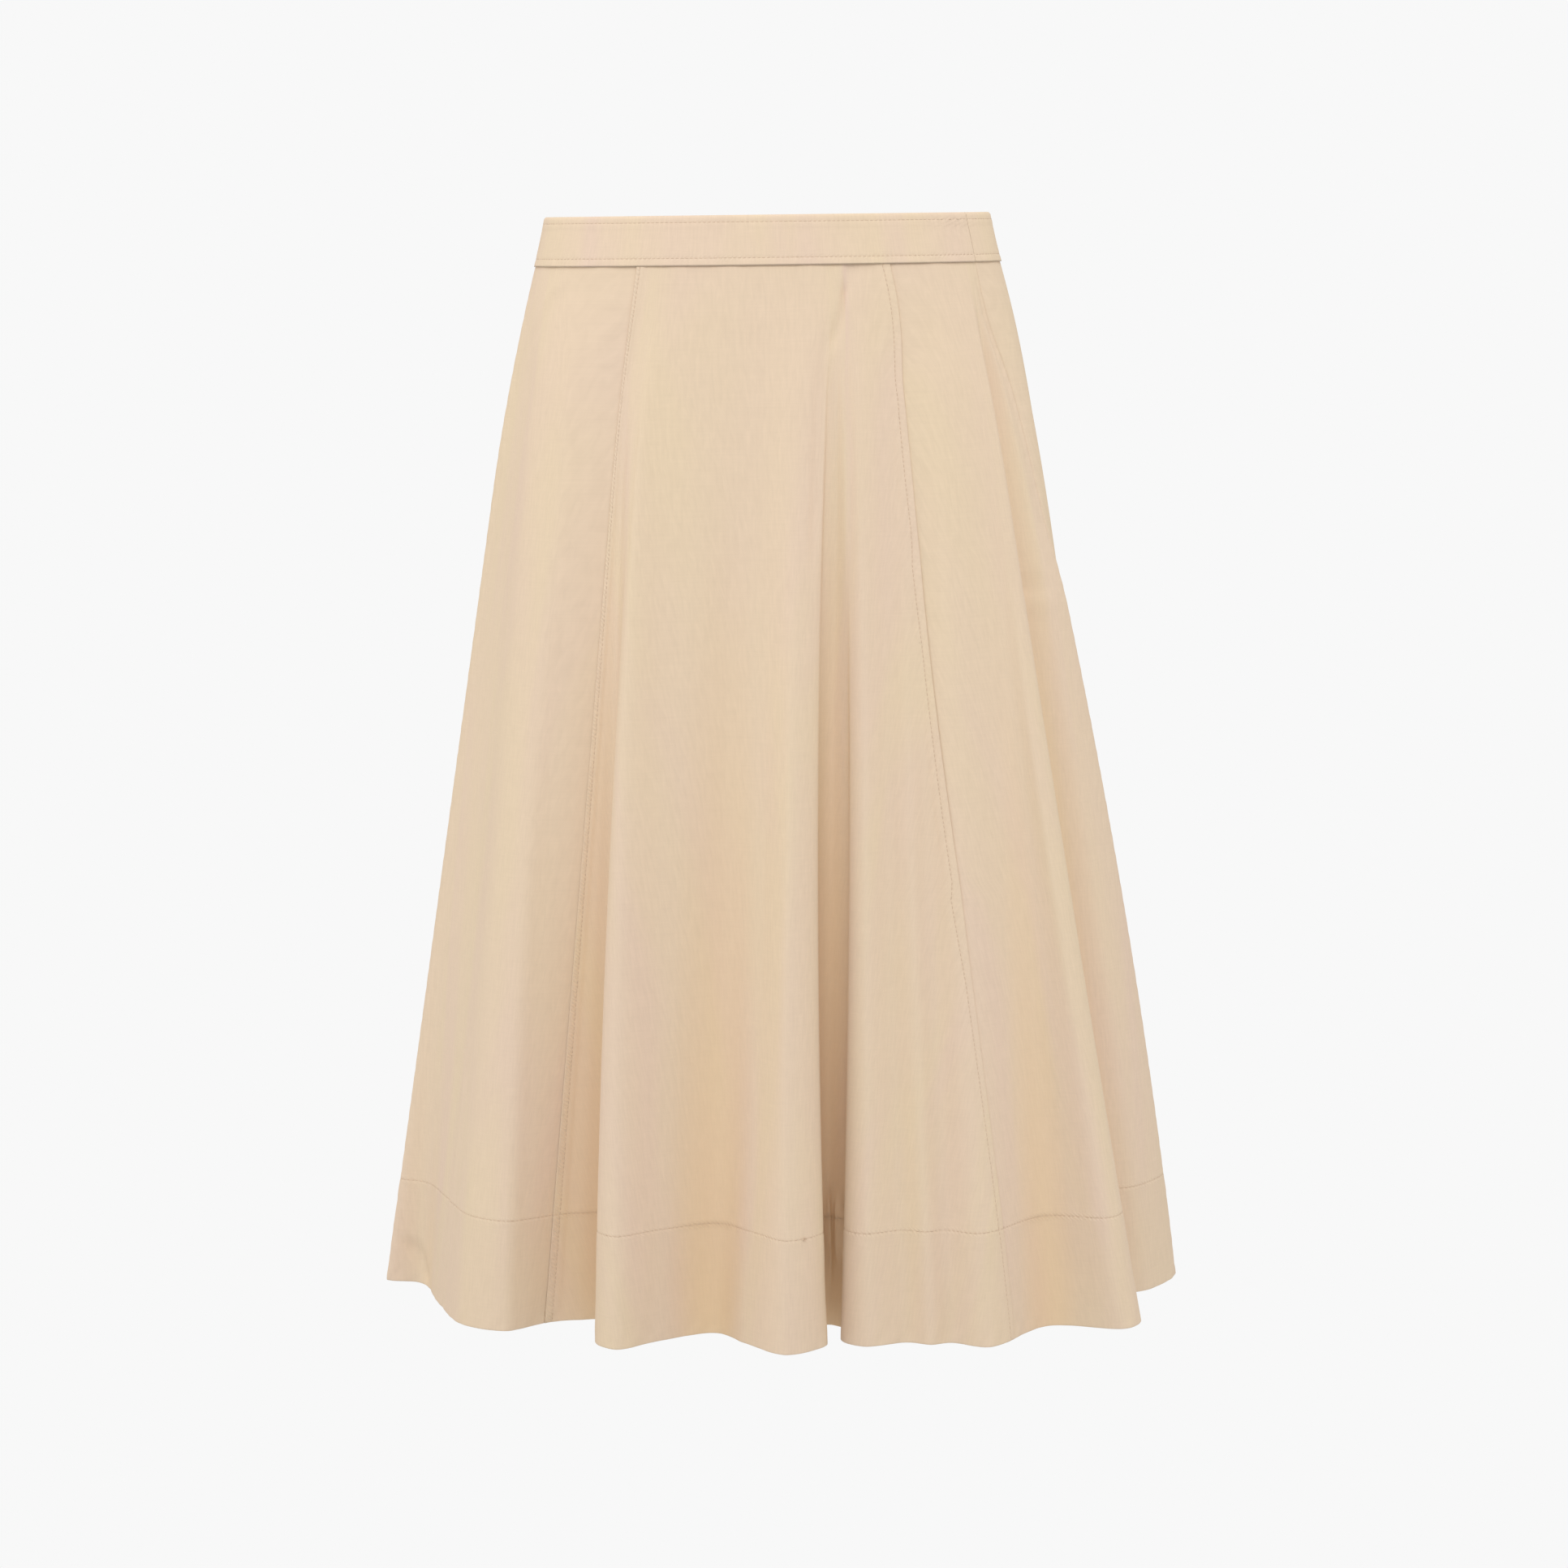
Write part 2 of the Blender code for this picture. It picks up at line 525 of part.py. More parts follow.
def plate():
    """The pull's plate, hanging from the origin, narrow at its neck and round at its foot."""
    outline = [(-PULL_NECK / 2, 0.0), (PULL_NECK / 2, 0.0)]
    foot = PULL_LONG - PULL_WIDE / 2
    for step in range(9):
        turn = math.pi * step / 8
        outline.append((PULL_WIDE / 2 * math.cos(turn), -foot - PULL_WIDE / 2 * math.sin(turn)))
    mesh = bmesh.new()
    corners = [mesh.verts.new((x, -PULL_THICK / 2, z)) for x, z in outline]
    face = mesh.faces.new(corners)
    thick = bmesh.ops.extrude_face_region(mesh, geom=[face])
    moved = [item for item in thick["geom"] if isinstance(item, bmesh.types.BMVert)]
    bmesh.ops.translate(mesh, verts=moved, vec=(0.0, PULL_THICK, 0.0))
    bmesh.ops.recalc_face_normals(mesh, faces=mesh.faces)
    data = bpy.data.meshes.new("pull_plate")
    mesh.to_mesh(data)
    mesh.free()
    made = bpy.data.objects.new("pull_plate", data)
    bpy.context.collection.objects.link(made)
    return made


def build_skirt():
    start_empty()
    sand = (0.76, 0.63, 0.48)
    seams = {"side_right": cut_of("seam_side_right"), "front_right": cut_of("seam_front_right"),
             "front_left": SLANT_SEAM, "side_left": cut_of("seam_side_left"),
             "back_left": cut_of("seam_back_left"), "centre_back": cut_of("seam_centre_back"),
             "back_right": cut_of("seam_back_right")}
    gores = (("gore_side_front_right", "side_right", "front_right"),
             ("gore_front_centre", "front_right", "front_left"),
             ("gore_side_front_left", "front_left", "side_left"),
             ("gore_side_back_left", "side_left", "back_left"),
             ("gore_back_left", "back_left", "centre_back"),
             ("gore_back_right", "centre_back", "back_right"),
             ("gore_side_back_right", "back_right", "side_right"))
    for name, start, end in gores:
        gore(name, seams[start], seams[end], material(name + "_cloth", sand, 0.85))
    bands = (("waistband_front", "seam_side_right", "seam_side_left", 0.0, (GAP, GAP)),
             ("waistband_back_left", "seam_side_left", "seam_centre_back", 0.0, (GAP, NECK_SLOT)),
             ("waistband_back_right", "seam_centre_back", "seam_side_right", 360.0, (NECK_SLOT, GAP)))
    angle_of = {fold.name: fold.angle for fold in FOLDS}
    for name, start, end, turn, end_gaps in bands:
        band(name, angle_of[start], angle_of[end] + turn, end_gaps, material(name + "_cloth", sand, 0.85))
    tape("zip_tape_left", 1, material("zip_tape_left_weave", sand, 0.8))
    tape("zip_tape_right", -1, material("zip_tape_right_weave", sand, 0.8))
    slider(material("zip_slider_metal", sand, 0.35, 0.6))
    pull(material("zip_pull_metal", sand, 0.35, 0.6))


build_skirt()
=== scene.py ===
"""Flared midi skirt of seven gores on a straight waistband, filled out as on a figure.

Metres, +Z up, the front faces -Y and the wearer's left is +X. The origin is the middle of the
waist opening, level with the band's top edge.
"""
import math
from collections import namedtuple

import bmesh
import bpy
import numpy as np
from mathutils import Matrix, Vector


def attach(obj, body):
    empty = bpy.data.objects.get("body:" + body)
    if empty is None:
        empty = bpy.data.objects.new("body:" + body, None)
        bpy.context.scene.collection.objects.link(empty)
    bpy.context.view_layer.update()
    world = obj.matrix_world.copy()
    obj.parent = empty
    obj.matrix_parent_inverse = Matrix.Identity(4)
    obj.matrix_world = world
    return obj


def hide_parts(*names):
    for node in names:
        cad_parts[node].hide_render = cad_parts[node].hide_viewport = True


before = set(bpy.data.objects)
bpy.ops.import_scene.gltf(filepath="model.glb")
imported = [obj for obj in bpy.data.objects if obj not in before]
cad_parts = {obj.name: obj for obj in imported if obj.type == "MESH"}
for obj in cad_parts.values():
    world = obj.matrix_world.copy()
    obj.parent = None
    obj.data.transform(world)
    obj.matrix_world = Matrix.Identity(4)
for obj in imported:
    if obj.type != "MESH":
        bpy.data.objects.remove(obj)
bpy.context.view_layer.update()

# ---- The gores ------------------------------------------------------------------------------
# Seven flared gores of sand-coloured cotton poplin, each with its hem turned up as one piece.
# They are sewn edge to edge, their allowances pressed to one side and topstitched, and they hang
# from the band in unpressed flutes that grow towards the hem.

DROP = 0.750                # band's top edge down to the hem
BAND_DEEP = 0.0335          # depth of the waistband
HEM_DEEP = 0.075            # how far the hem is turned up inside
TUCKED_IN = 0.008           # how far the gores reach up inside the band
WAIST_WIDE, WAIST_DEEP = 0.3026, 0.1450     # oval of the skirt at the band's top edge
SEAM_WIDE, SEAM_DEEP = 0.3180, 0.1550       # and at the band's lower edge
HEM_WIDE, HEM_OVAL_DEEP = 0.5650, 0.3000    # the oval that the flutes stand off at the hem
HIP_HOLLOW = 0.0088         # how far the side line runs inside a straight line at the waist
HIP_DROP = 0.155            # where that hollow has run out, below the band
MID_SHARE = 0.47            # share of the drop at which the lean column is measured
PLAIN_SHARE = 0.12          # share of the drop over which the folds come out of the plain oval

# One row for each fold line, round the skirt from the wearer's right side past the front.
# angle: where it leaves the waist, degrees from the middle of the front
# across, out: where it ends at the hem, to the wearer's left and towards the front
# begins: share of the drop above which the fold has not begun
# lean: how far it runs to the wearer's left of its straight line at mid height
# A row with no angle is a bend inside a fold, in line between its neighbours until it begins.
Fold = namedtuple("Fold", "name angle across out begins lean")
FOLDS = [Fold(*row) for row in (
    ("seam_side_right", -84.0, -0.281, -0.018, 0.00, 0.000),
    ("notch_front_right", None, -0.256, -0.008, 0.50, None),
    ("turn_front_right", None, -0.239, 0.046, 0.20, None),
    ("crest_right_outer", -63.0, -0.217, 0.104, 0.00, -0.002),
    ("crest_right_inner", -49.0, -0.187, 0.121, 0.00, -0.009),
    ("sag_right", None, -0.1765, 0.115, 0.05, None),
    ("seam_front_right", -33.4, -0.162, 0.102, 0.00, 0.000),
    ("valley_right", None, -0.150, 0.0965, 0.15, None),
    ("tuck_crest", None, -0.139, 0.095, 0.12, None),
    ("tuck_back", None, -0.119, 0.095, 0.12, None),
    ("tuck_turn", None, -0.106, 0.121, 0.16, None),
    ("lip_centre_right", None, -0.125, 0.150, 0.12, None),
    ("crest_centre_right", -27.0, -0.110, 0.170, 0.02, -0.009),
    ("fall_centre", -22.0, -0.082, 0.150, 0.02, -0.001),
    ("dip_centre", -10.0, -0.044, 0.132, 0.02, 0.004),
    ("rise_centre", -1.0, -0.024, 0.158, 0.02, 0.007),
    ("crest_centre_left", 8.0, 0.004, 0.188, 0.00, -0.002),
    ("lip_centre_left", 14.5, 0.0312, 0.164, 0.00, -0.0075),
    ("wall_of_centre", None, 0.021, 0.142, 0.02, None),
    ("valley_left_back", None, 0.023, 0.121, 0.06, None),
    ("valley_left_turn", None, 0.033, 0.115, 0.07, None),
    ("wall_of_left", None, 0.049, 0.134, 0.12, None),
    ("lip_left", 18.5, 0.0405, 0.154, 0.00, 0.004),
    ("crest_left_lip", 21.0, 0.056, 0.170, 0.00, 0.002),
    ("dip_left", 29.6, 0.085, 0.161, 0.04, -0.006),
    ("swell_left", None, 0.101, 0.1675, 0.03, None),
    ("hollow_left", None, 0.114, 0.163, 0.03, None),
    ("crest_left_inner", 43.5, 0.139, 0.175, 0.00, -0.005),
    ("dip_left_outer", 50.0, 0.183, 0.124, 0.02, 0.010),
    ("crest_left_outer", 55.0, 0.233, 0.134, 0.03, -0.004),
    ("lip_left_outer", None, 0.2455, 0.116, 0.00, None),
    ("tuck_left_outer", None, 0.230, 0.052, -0.10, None),
    ("side_panel", None, 0.258, 0.034, 0.12, None),
    ("seam_side_left", 62.0, 0.281, -0.012, 0.00, 0.013),
    ("notch_back_left", None, 0.262, -0.042, 0.15, None),
    ("turn_back_left", 82.0, 0.274, -0.078, 0.10, 0.000),
    ("crest_back_left_1", 97.0, 0.262, -0.114, 0.00, 0.000),
    ("valley_back_left", None, 0.236, -0.100, 0.10, None),
    ("crest_back_left_2", 124.0, 0.224, -0.142, 0.00, 0.000),
    ("crest_back_left_3", 136.0, 0.202, -0.147, 0.00, 0.000),
    ("seam_back_left", 149.0, 0.180, -0.102, 0.00, 0.000),
    ("rise_back_left", None, 0.158, -0.128, 0.05, None),
    ("crest_back_1", 158.0, 0.134, -0.170, 0.05, 0.000),
    ("crest_back_2", 162.0, 0.104, -0.172, 0.05, 0.000),
    ("valley_back_1", None, 0.078, -0.112, 0.12, None),
    ("valley_back_2", None, 0.056, -0.114, 0.12, None),
    ("crest_back_3", 174.0, 0.030, -0.174, 0.05, 0.000),
    ("seam_centre_back", 180.0, 0.006, -0.183, 0.00, 0.000),
    ("crest_back_4", 186.0, -0.018, -0.178, 0.05, 0.000),
    ("valley_back_3", None, -0.048, -0.114, 0.12, None),
    ("valley_back_4", None, -0.072, -0.110, 0.12, None),
    ("crest_back_5", 198.0, -0.106, -0.168, 0.05, 0.000),
    ("crest_back_6", 203.0, -0.142, -0.164, 0.05, 0.000),
    ("seam_back_right", 212.0, -0.180, -0.100, 0.00, 0.000),
    ("crest_back_right_1", 225.0, -0.208, -0.134, 0.00, 0.000),
    ("crest_back_right_2", 238.0, -0.246, -0.130, 0.00, 0.000),
    ("turn_back_right", 253.0, -0.272, -0.086, 0.10, 0.000),
    ("notch_back_right", None, -0.260, -0.048, 0.15, None),
)]

# The front left seam crosses the folds: at the waist it starts further round to the right.
SLANT_SEAM_AFTER = "crest_left_inner"   # at the hem it lies past this fold,
SLANT_SEAM_PAST = 0.029                 # by this much of the hem,
SLANT_SEAM_BACK = 0.082                 # and at the waist it starts this much further back
SLANT_FALL = 1.2                        # how fast it comes round
SLANT_REACH_RIGHT, SLANT_REACH_LEFT = 0.190, 0.150      # the cloth either side that moves with it

COUNT = len(FOLDS)
HEM_ACROSS = np.array([fold.across for fold in FOLDS])
HEM_OUT = np.array([fold.out for fold in FOLDS])
BEGINS = np.array([fold.begins for fold in FOLDS])
SPAN = np.hypot(np.roll(HEM_ACROSS, -1) - HEM_ACROSS, np.roll(HEM_OUT, -1) - HEM_OUT)
START = np.concatenate([[0.0], np.cumsum(SPAN)])
HEM_ROUND = START[-1]
LINES = [row for row in range(COUNT) if FOLDS[row].angle is not None]
LINE_BEFORE = np.array([max(line for line in LINES if line <= row) for row in range(COUNT)])
LINE_AFTER = np.array([min([line for line in LINES if line >= row] + [COUNT]) for row in range(COUNT)])
BETWEEN = (START[:-1] - START[LINE_BEFORE]) / np.maximum(START[LINE_AFTER] - START[LINE_BEFORE], 1e-9)
LINE_AFTER = LINE_AFTER % COUNT


def between_lines(values, full_turn=0.0):
    """A value for every row, in line between the rows that have one of their own."""
    own = np.array([0.0 if value is None else value for value in values])
    after = own[LINE_AFTER] + np.where(LINE_AFTER < LINE_BEFORE, full_turn, 0.0)
    return own[LINE_BEFORE] + (after - own[LINE_BEFORE]) * BETWEEN


ANGLE = np.radians(between_lines([fold.angle for fold in FOLDS], 360.0))
LEAN = between_lines([fold.lean for fold in FOLDS])
SWING = HEM_ACROSS - HEM_WIDE / 2 * np.sin(ANGLE)
REACH = HEM_OUT - HEM_OVAL_DEEP / 2 * np.cos(ANGLE)
BEND_ACROSS = HEM_ACROSS - between_lines(HEM_ACROSS)
BEND_OUT = HEM_OUT - between_lines(HEM_OUT)
CUTS = {fold.name: start for fold, start in zip(FOLDS, START)}      # each line's place along the hem
SLANT_SEAM = CUTS[SLANT_SEAM_AFTER] + SLANT_SEAM_PAST


def share_of(drop):
    """Share of the way from the band's lower edge to the hem."""
    return np.clip((drop - BAND_DEEP) / (DROP - BAND_DEEP), 0.0, 1.0)


def half_wide(drop):
    """Half width of the oval at a drop below the band's top edge."""
    in_band = (WAIST_WIDE + (SEAM_WIDE - WAIST_WIDE) * drop / BAND_DEEP) / 2
    line = SEAM_WIDE / 2 + HIP_HOLLOW
    below = line + (HEM_WIDE / 2 - line) * share_of(drop)
    below -= HIP_HOLLOW * np.clip(1 - (drop - BAND_DEEP) / HIP_DROP, 0.0, 1.0) ** 2
    return np.where(drop < BAND_DEEP, in_band, below)


def half_deep(drop):
    """Half depth of the oval, front to back."""
    in_band = (WAIST_DEEP + (SEAM_DEEP - WAIST_DEEP) * drop / BAND_DEEP) / 2
    below = (SEAM_DEEP + (HEM_OVAL_DEEP - SEAM_DEEP) * share_of(drop)) / 2
    return np.where(drop < BAND_DEEP, in_band, below)


def grown(row, share):
    """How far a row's fold has grown, from 0 where it begins to 1 at the hem."""
    begins = BEGINS[row]
    return np.clip((share - begins) / (1 - begins), 0.0, 1.0) ** (1 + 2 * begins)


def line_place(row, drop):
    """Where a fold line with its own angle stands at a drop: across and out."""
    share = share_of(drop)
    bow = share * (1 - share) / (MID_SHARE * (1 - MID_SHARE))
    across = half_wide(drop) * np.sin(ANGLE[row]) + SWING[row] * share + LEAN[row] * bow
    out = half_deep(drop) * np.cos(ANGLE[row]) + REACH[row] * grown(row, share)
    return np.stack([across, out])


def fold_place(row, drop):
    """Where any row stands: between the lines beside it, moved off by its own bend."""
    row = row % COUNT
    before = line_place(LINE_BEFORE[row], drop)
    after = line_place(LINE_AFTER[row], drop)
    bend = np.stack([BEND_ACROSS[row], BEND_OUT[row]]) * grown(row, share_of(drop))
    return before + (after - before) * BETWEEN[row] + bend


def row_angle(row):
    """Waist angle of a row, carried on past a full turn."""
    return ANGLE[row % COUNT] + 2 * math.pi * (row // COUNT)


def eased(start, leave, end, arrive, part):
    """Curve from start to end that leaves and arrives with the given slopes."""
    square, cube = part ** 2, part ** 3
    return ((2 * cube - 3 * square + 1) * start + (cube - 2 * square + part) * leave
            + (3 * square - 2 * cube) * end + (cube - square) * arrive)


def angle_between(row, part):
    """Waist angle part of the way from a row to the next, always rising."""
    before, start, end, after = (row_angle(row + step) for step in (-1, 0, 1, 2))
    rise_before = (start - before) / SPAN[(row - 1) % COUNT]
    rise = (end - start) / SPAN[row]
    rise_after = (after - end) / SPAN[(row + 1) % COUNT]
    leave = 2 * rise_before * rise / (rise_before + rise)
    arrive = 2 * rise * rise_after / (rise + rise_after)
    return eased(start, leave * SPAN[row], end, arrive * SPAN[row], part)


def curve_between(row, part, drop):
    """Smooth curve through the fold lines at a drop, part of the way from a row to the next."""
    before, start, end, after = (fold_place(row + step, drop) for step in (-1, 0, 1, 2))
    stretch = [np.sqrt(np.hypot(*(far - near))) + 1e-6
               for near, far in ((before, start), (start, end), (end, after))]
    leave = ((start - before) / stretch[0] * stretch[1] + (end - start) / stretch[1] * stretch[0])
    leave /= stretch[0] + stretch[1]
    arrive = ((end - start) / stretch[1] * stretch[2] + (after - end) / stretch[2] * stretch[1])
    arrive /= stretch[1] + stretch[2]
    return eased(start, leave * stretch[1], end, arrive * stretch[1], part)


def slide(cut, drop):
    """Moves the cloth beside the slanting seam round to where it hangs at this drop."""
    away = cut - SLANT_SEAM
    reach = np.where(away < 0, SLANT_REACH_RIGHT, SLANT_REACH_LEFT)
    near = np.cos(np.clip(away / reach, -1.0, 1.0) * math.pi / 2) ** 2
    return cut - SLANT_SEAM_BACK * (1 - share_of(drop)) ** SLANT_FALL * near


def skirt_place(cut, drop):
    """Outside of the cloth: cut is a place along the hem, drop a height. Arrays of x, y, z."""
    cut, drop = np.broadcast_arrays(np.asarray(cut, float), np.asarray(drop, float))
    along = slide(cut, drop) % HEM_ROUND
    row = np.clip(np.searchsorted(START, along, side="right") - 1, 0, COUNT - 1)
    part = (along - START[row]) / SPAN[row]
    angle = angle_between(row, part)
    across, out = curve_between(row, part, drop)
    near_band = np.clip(share_of(drop) / PLAIN_SHARE, 0.0, 1.0)
    folded = near_band ** 2 * (3 - 2 * near_band)
    oval_across = half_wide(drop) * np.sin(angle)
    oval_out = half_deep(drop) * np.cos(angle)
    across = oval_across + (across - oval_across) * folded
    out = oval_out + (out - oval_out) * folded
    return np.stack([across, -out, -drop], axis=-1)


def skirt_out(cut, drop):
    """Unit direction out of the cloth."""
    step = 0.0004
    cut, drop = np.broadcast_arrays(np.asarray(cut, float), np.asarray(drop, float))
    low = np.maximum(drop - step, 0.0)
    high = np.minimum(drop + step, DROP)
    round_it = skirt_place(cut + step, drop) - skirt_place(cut - step, drop)
    down_it = skirt_place(cut, high) - skirt_place(cut, low)
    out = np.cross(down_it, round_it)
    return out / np.linalg.norm(out, axis=-1, keepdims=True)


def speed_at(cut, drops):
    """Metres of cloth for each metre along the hem, at places down one line."""
    step = 0.0005
    side = skirt_place(cut + step, drops) - skirt_place(cut - step, drops)
    return np.linalg.norm(side, axis=-1) / (2 * step)


def smooth(start, end, value):
    """0 before start, 1 past end, and a soft step between."""
    part = np.clip((value - start) / (end - start), 0.0, 1.0)
    return part * part * (3 - 2 * part)


def hump(away, half):
    """1 in the middle, falling off softly to both sides over about the given half width."""
    return np.exp(-(away / half) ** 2)


CLOTH = 0.0003              # thickness of the poplin
FOLD_BACK = 2 * CLOTH + 0.00005     # from a layer's face to its own face once folded back
SEAM_LAP = 0.0006           # how far the topstitched side stands over the other
UNDER_LAP = 0.0003          # and how far the other goes down below it
ALLOWANCE = 0.0100          # seam allowance inside
TOPSTITCH = 0.0050          # row of stitches beside a seam
PLAIN_RISE = 0.00012        # a plain seam's rise over its allowances
# The depths that stitches pull a lap, an under or a plain side down, and the heights of their puckers.
LAP_GROOVE, UNDER_GROOVE, PLAIN_GROOVE = 0.00016, 0.00030, 0.00006
LAP_PUCKER, UNDER_PUCKER, PLAIN_PUCKER = 0.00016, 0.00010, 0.00014
BEYOND_PUCKER = 0.00013     # on a lap, past its topstitching
HEM_ROW = 0.0745            # row of stitches above the hem's edge
HEM_GROOVE, HEM_GATHER = 0.00018, 0.00036       # depth of the row's groove, height of its gathers
HEM_STEP = 0.00022          # how far the doubled hem stands out below the row
HEM_EDGE_WAVE, HEM_SLACK = 0.00034, 0.0005      # waves of the hem's edge and of its middle
FINE_ZONE = 0.0120          # width beside a seam that keeps its real size at every height
GATHERED = (0.568, 0.610)   # the part of the hem whose gathers need closer columns

# Soft creases too small for the fold table: where each starts and ends along the hem and down,
# half its width there, and how far it rises (or sinks, below zero). Most hang nearly upright.
CUT_AT_WAIST = 0.37         # metres round the waist for each metre round the hem
CREASE_WAVER = 0.0015       # how far a crease's line wavers
Crease = namedtuple("Crease", "cut drop end_cut end_drop wide end_wide rise")
CREASES = [Crease(*row) for row in (
    # pulled down from the band into the hollow right of the centre flute
    (0.750, 0.030, 0.615, 0.058, 0.0080, 0.0090, -0.0012),
    (0.668, 0.042, 0.530, 0.094, 0.0090, 0.0080, -0.0020),
    (0.524, 0.064, 0.516, 0.250, 0.0050, 0.0032, -0.0018),
    # along the left side seam, with a rim in front of it and a kink at its foot
    (1.012, 0.024, 1.026, 0.270, 0.0170, 0.0200, -0.0042),
    (1.070, 0.024, 1.084, 0.270, 0.0100, 0.0120, 0.0012),
    (0.935, 0.252, 0.995, 0.258, 0.0035, 0.0040, -0.0016),
    (0.930, 0.262, 0.990, 0.268, 0.0040, 0.0040, 0.0010),
    # from the right side up to the band
    (0.070, 0.080, 0.170, 0.036, 0.0030, 0.0026, 0.0006),
    (0.090, 0.088, 0.180, 0.042, 0.0040, 0.0030, -0.0005),
    # down the front flutes
    (0.402, 0.120, 0.405, 0.560, 0.0060, 0.0090, 0.0007),
    (0.424, 0.100, 0.427, 0.640, 0.0050, 0.0070, -0.0007),
    (0.448, 0.140, 0.452, 0.600, 0.0050, 0.0060, -0.0006),
    (0.366, 0.060, 0.374, 0.420, 0.0070, 0.0090, -0.0008),
    (0.500, 0.200, 0.486, 0.650, 0.0060, 0.0070, 0.0006),
    (0.160, 0.090, 0.186, 0.480, 0.0080, 0.0100, -0.0010),
    (0.188, 0.150, 0.199, 0.420, 0.0050, 0.0060, 0.0007),
    (0.830, 0.330, 0.838, 0.640, 0.0070, 0.0090, 0.0009),
    (0.868, 0.300, 0.872, 0.600, 0.0060, 0.0080, 0.0006),
    # above the hem at the right, and where its edge curls
    (0.108, 0.560, 0.092, 0.745, 0.0050, 0.0070, 0.0010),
    (0.014, 0.716, 0.044, 0.752, 0.0040, 0.0060, -0.0024),
    # gathers in the deep hollow at the hem's stitches
    (0.574, 0.662, 0.577, 0.702, 0.0014, 0.0018, -0.0024),
    (0.580, 0.656, 0.583, 0.706, 0.0018, 0.0022, 0.0022),
    (0.587, 0.648, 0.590, 0.728, 0.0014, 0.0020, -0.0028),
    (0.594, 0.658, 0.597, 0.712, 0.0018, 0.0022, 0.0022),
    (0.601, 0.664, 0.603, 0.700, 0.0014, 0.0018, -0.0022),
    # round the sides and the back
    (1.120, 0.060, 1.128, 0.560, 0.0070, 0.0090, -0.0012),
    (1.160, 0.040, 1.205, 0.300, 0.0060, 0.0080, 0.0009),
    (1.205, 0.050, 1.200, 0.480, 0.0060, 0.0090, 0.0011),
    (1.262, 0.120, 1.270, 0.640, 0.0060, 0.0080, -0.0012),
    (1.372, 0.080, 1.366, 0.520, 0.0070, 0.0090, 0.0011),
    (1.420, 0.030, 1.452, 0.260, 0.0060, 0.0070, -0.0011),
    (1.470, 0.100, 1.476, 0.600, 0.0060, 0.0090, -0.0011),
    (1.540, 0.200, 1.536, 0.700, 0.0050, 0.0080, 0.0009),
    (1.655, 0.060, 1.650, 0.460, 0.0070, 0.0080, 0.0012),
    (1.742, 0.140, 1.750, 0.620, 0.0060, 0.0090, -0.0012),
    (1.800, 0.028, 1.770, 0.230, 0.0060, 0.0080, -0.0010),
    (1.838, 0.070, 1.834, 0.540, 0.0060, 0.0080, 0.0010),
    (1.930, 0.050, 1.926, 0.420, 0.0070, 0.0090, -0.0012),
    (2.010, 0.160, 2.016, 0.640, 0.0060, 0.0080, 0.0010),
)]


def wander(place, pace, seed):
    """Uneven wave between about -1 and 1, the same at every run."""
    turn = place / pace * 2 * math.pi
    return (np.sin(turn + seed) + 0.7 * np.sin(turn * 0.613 + 2.1 * seed)
            + 0.5 * np.sin(turn * 1.637 + 3.7 * seed)) / 2.2


def crease_relief(cut, drop):
    """Rise and fall of the soft creases, which fade out at their ends and waver a little."""
    total = np.zeros_like(cut)
    metres = CUT_AT_WAIST + (1 - CUT_AT_WAIST) * share_of(drop)
    for number, crease in enumerate(CREASES):
        part = (drop - crease.drop) / (crease.end_drop - crease.drop)
        along = np.clip(part, 0.0, 1.0)
        lean = (crease.end_cut - crease.cut) / (crease.end_drop - crease.drop)
        middle = crease.cut + (crease.end_cut - crease.cut) * along
        middle = middle + CREASE_WAVER * wander(drop, 0.31, 1.7 * number)
        beside = (cut - middle) * metres / np.sqrt(1 + (lean * metres) ** 2)
        wide = crease.wide + (crease.end_wide - crease.wide) * along
        fade = smooth(0.0, 0.25, part) * smooth(1.0, 0.70, part)
        total = total + crease.rise * fade * hump(beside, wide)
    return total


def hem_relief(cut, drop):
    """The pull of the hem's row of stitches: a groove, with small slanting gathers round it."""
    up = DROP - drop
    above = (DROP - HEM_ROW) - drop
    groove = -HEM_GROOVE * hump(above, 0.0008)
    gather = wander(cut + 0.35 * above, 0.0105, 1.3) * (0.55 + 0.45 * wander(cut, 0.083, 0.4))
    fade = hump(np.maximum(above, 0.0), 0.008) * hump(np.maximum(-above, 0.0), 0.013)
    doubled = HEM_STEP * smooth(0.0004, -0.0016, above)
    edge = HEM_EDGE_WAVE * wander(cut - 0.8 * up, 0.0150, 2.2) * smooth(0.016, 0.002, up)
    slack = HEM_SLACK * wander(cut, 0.071, 0.8) * hump(up - 0.038, 0.022)
    return groove + HEM_GATHER * gather * fade + doubled + edge + slack


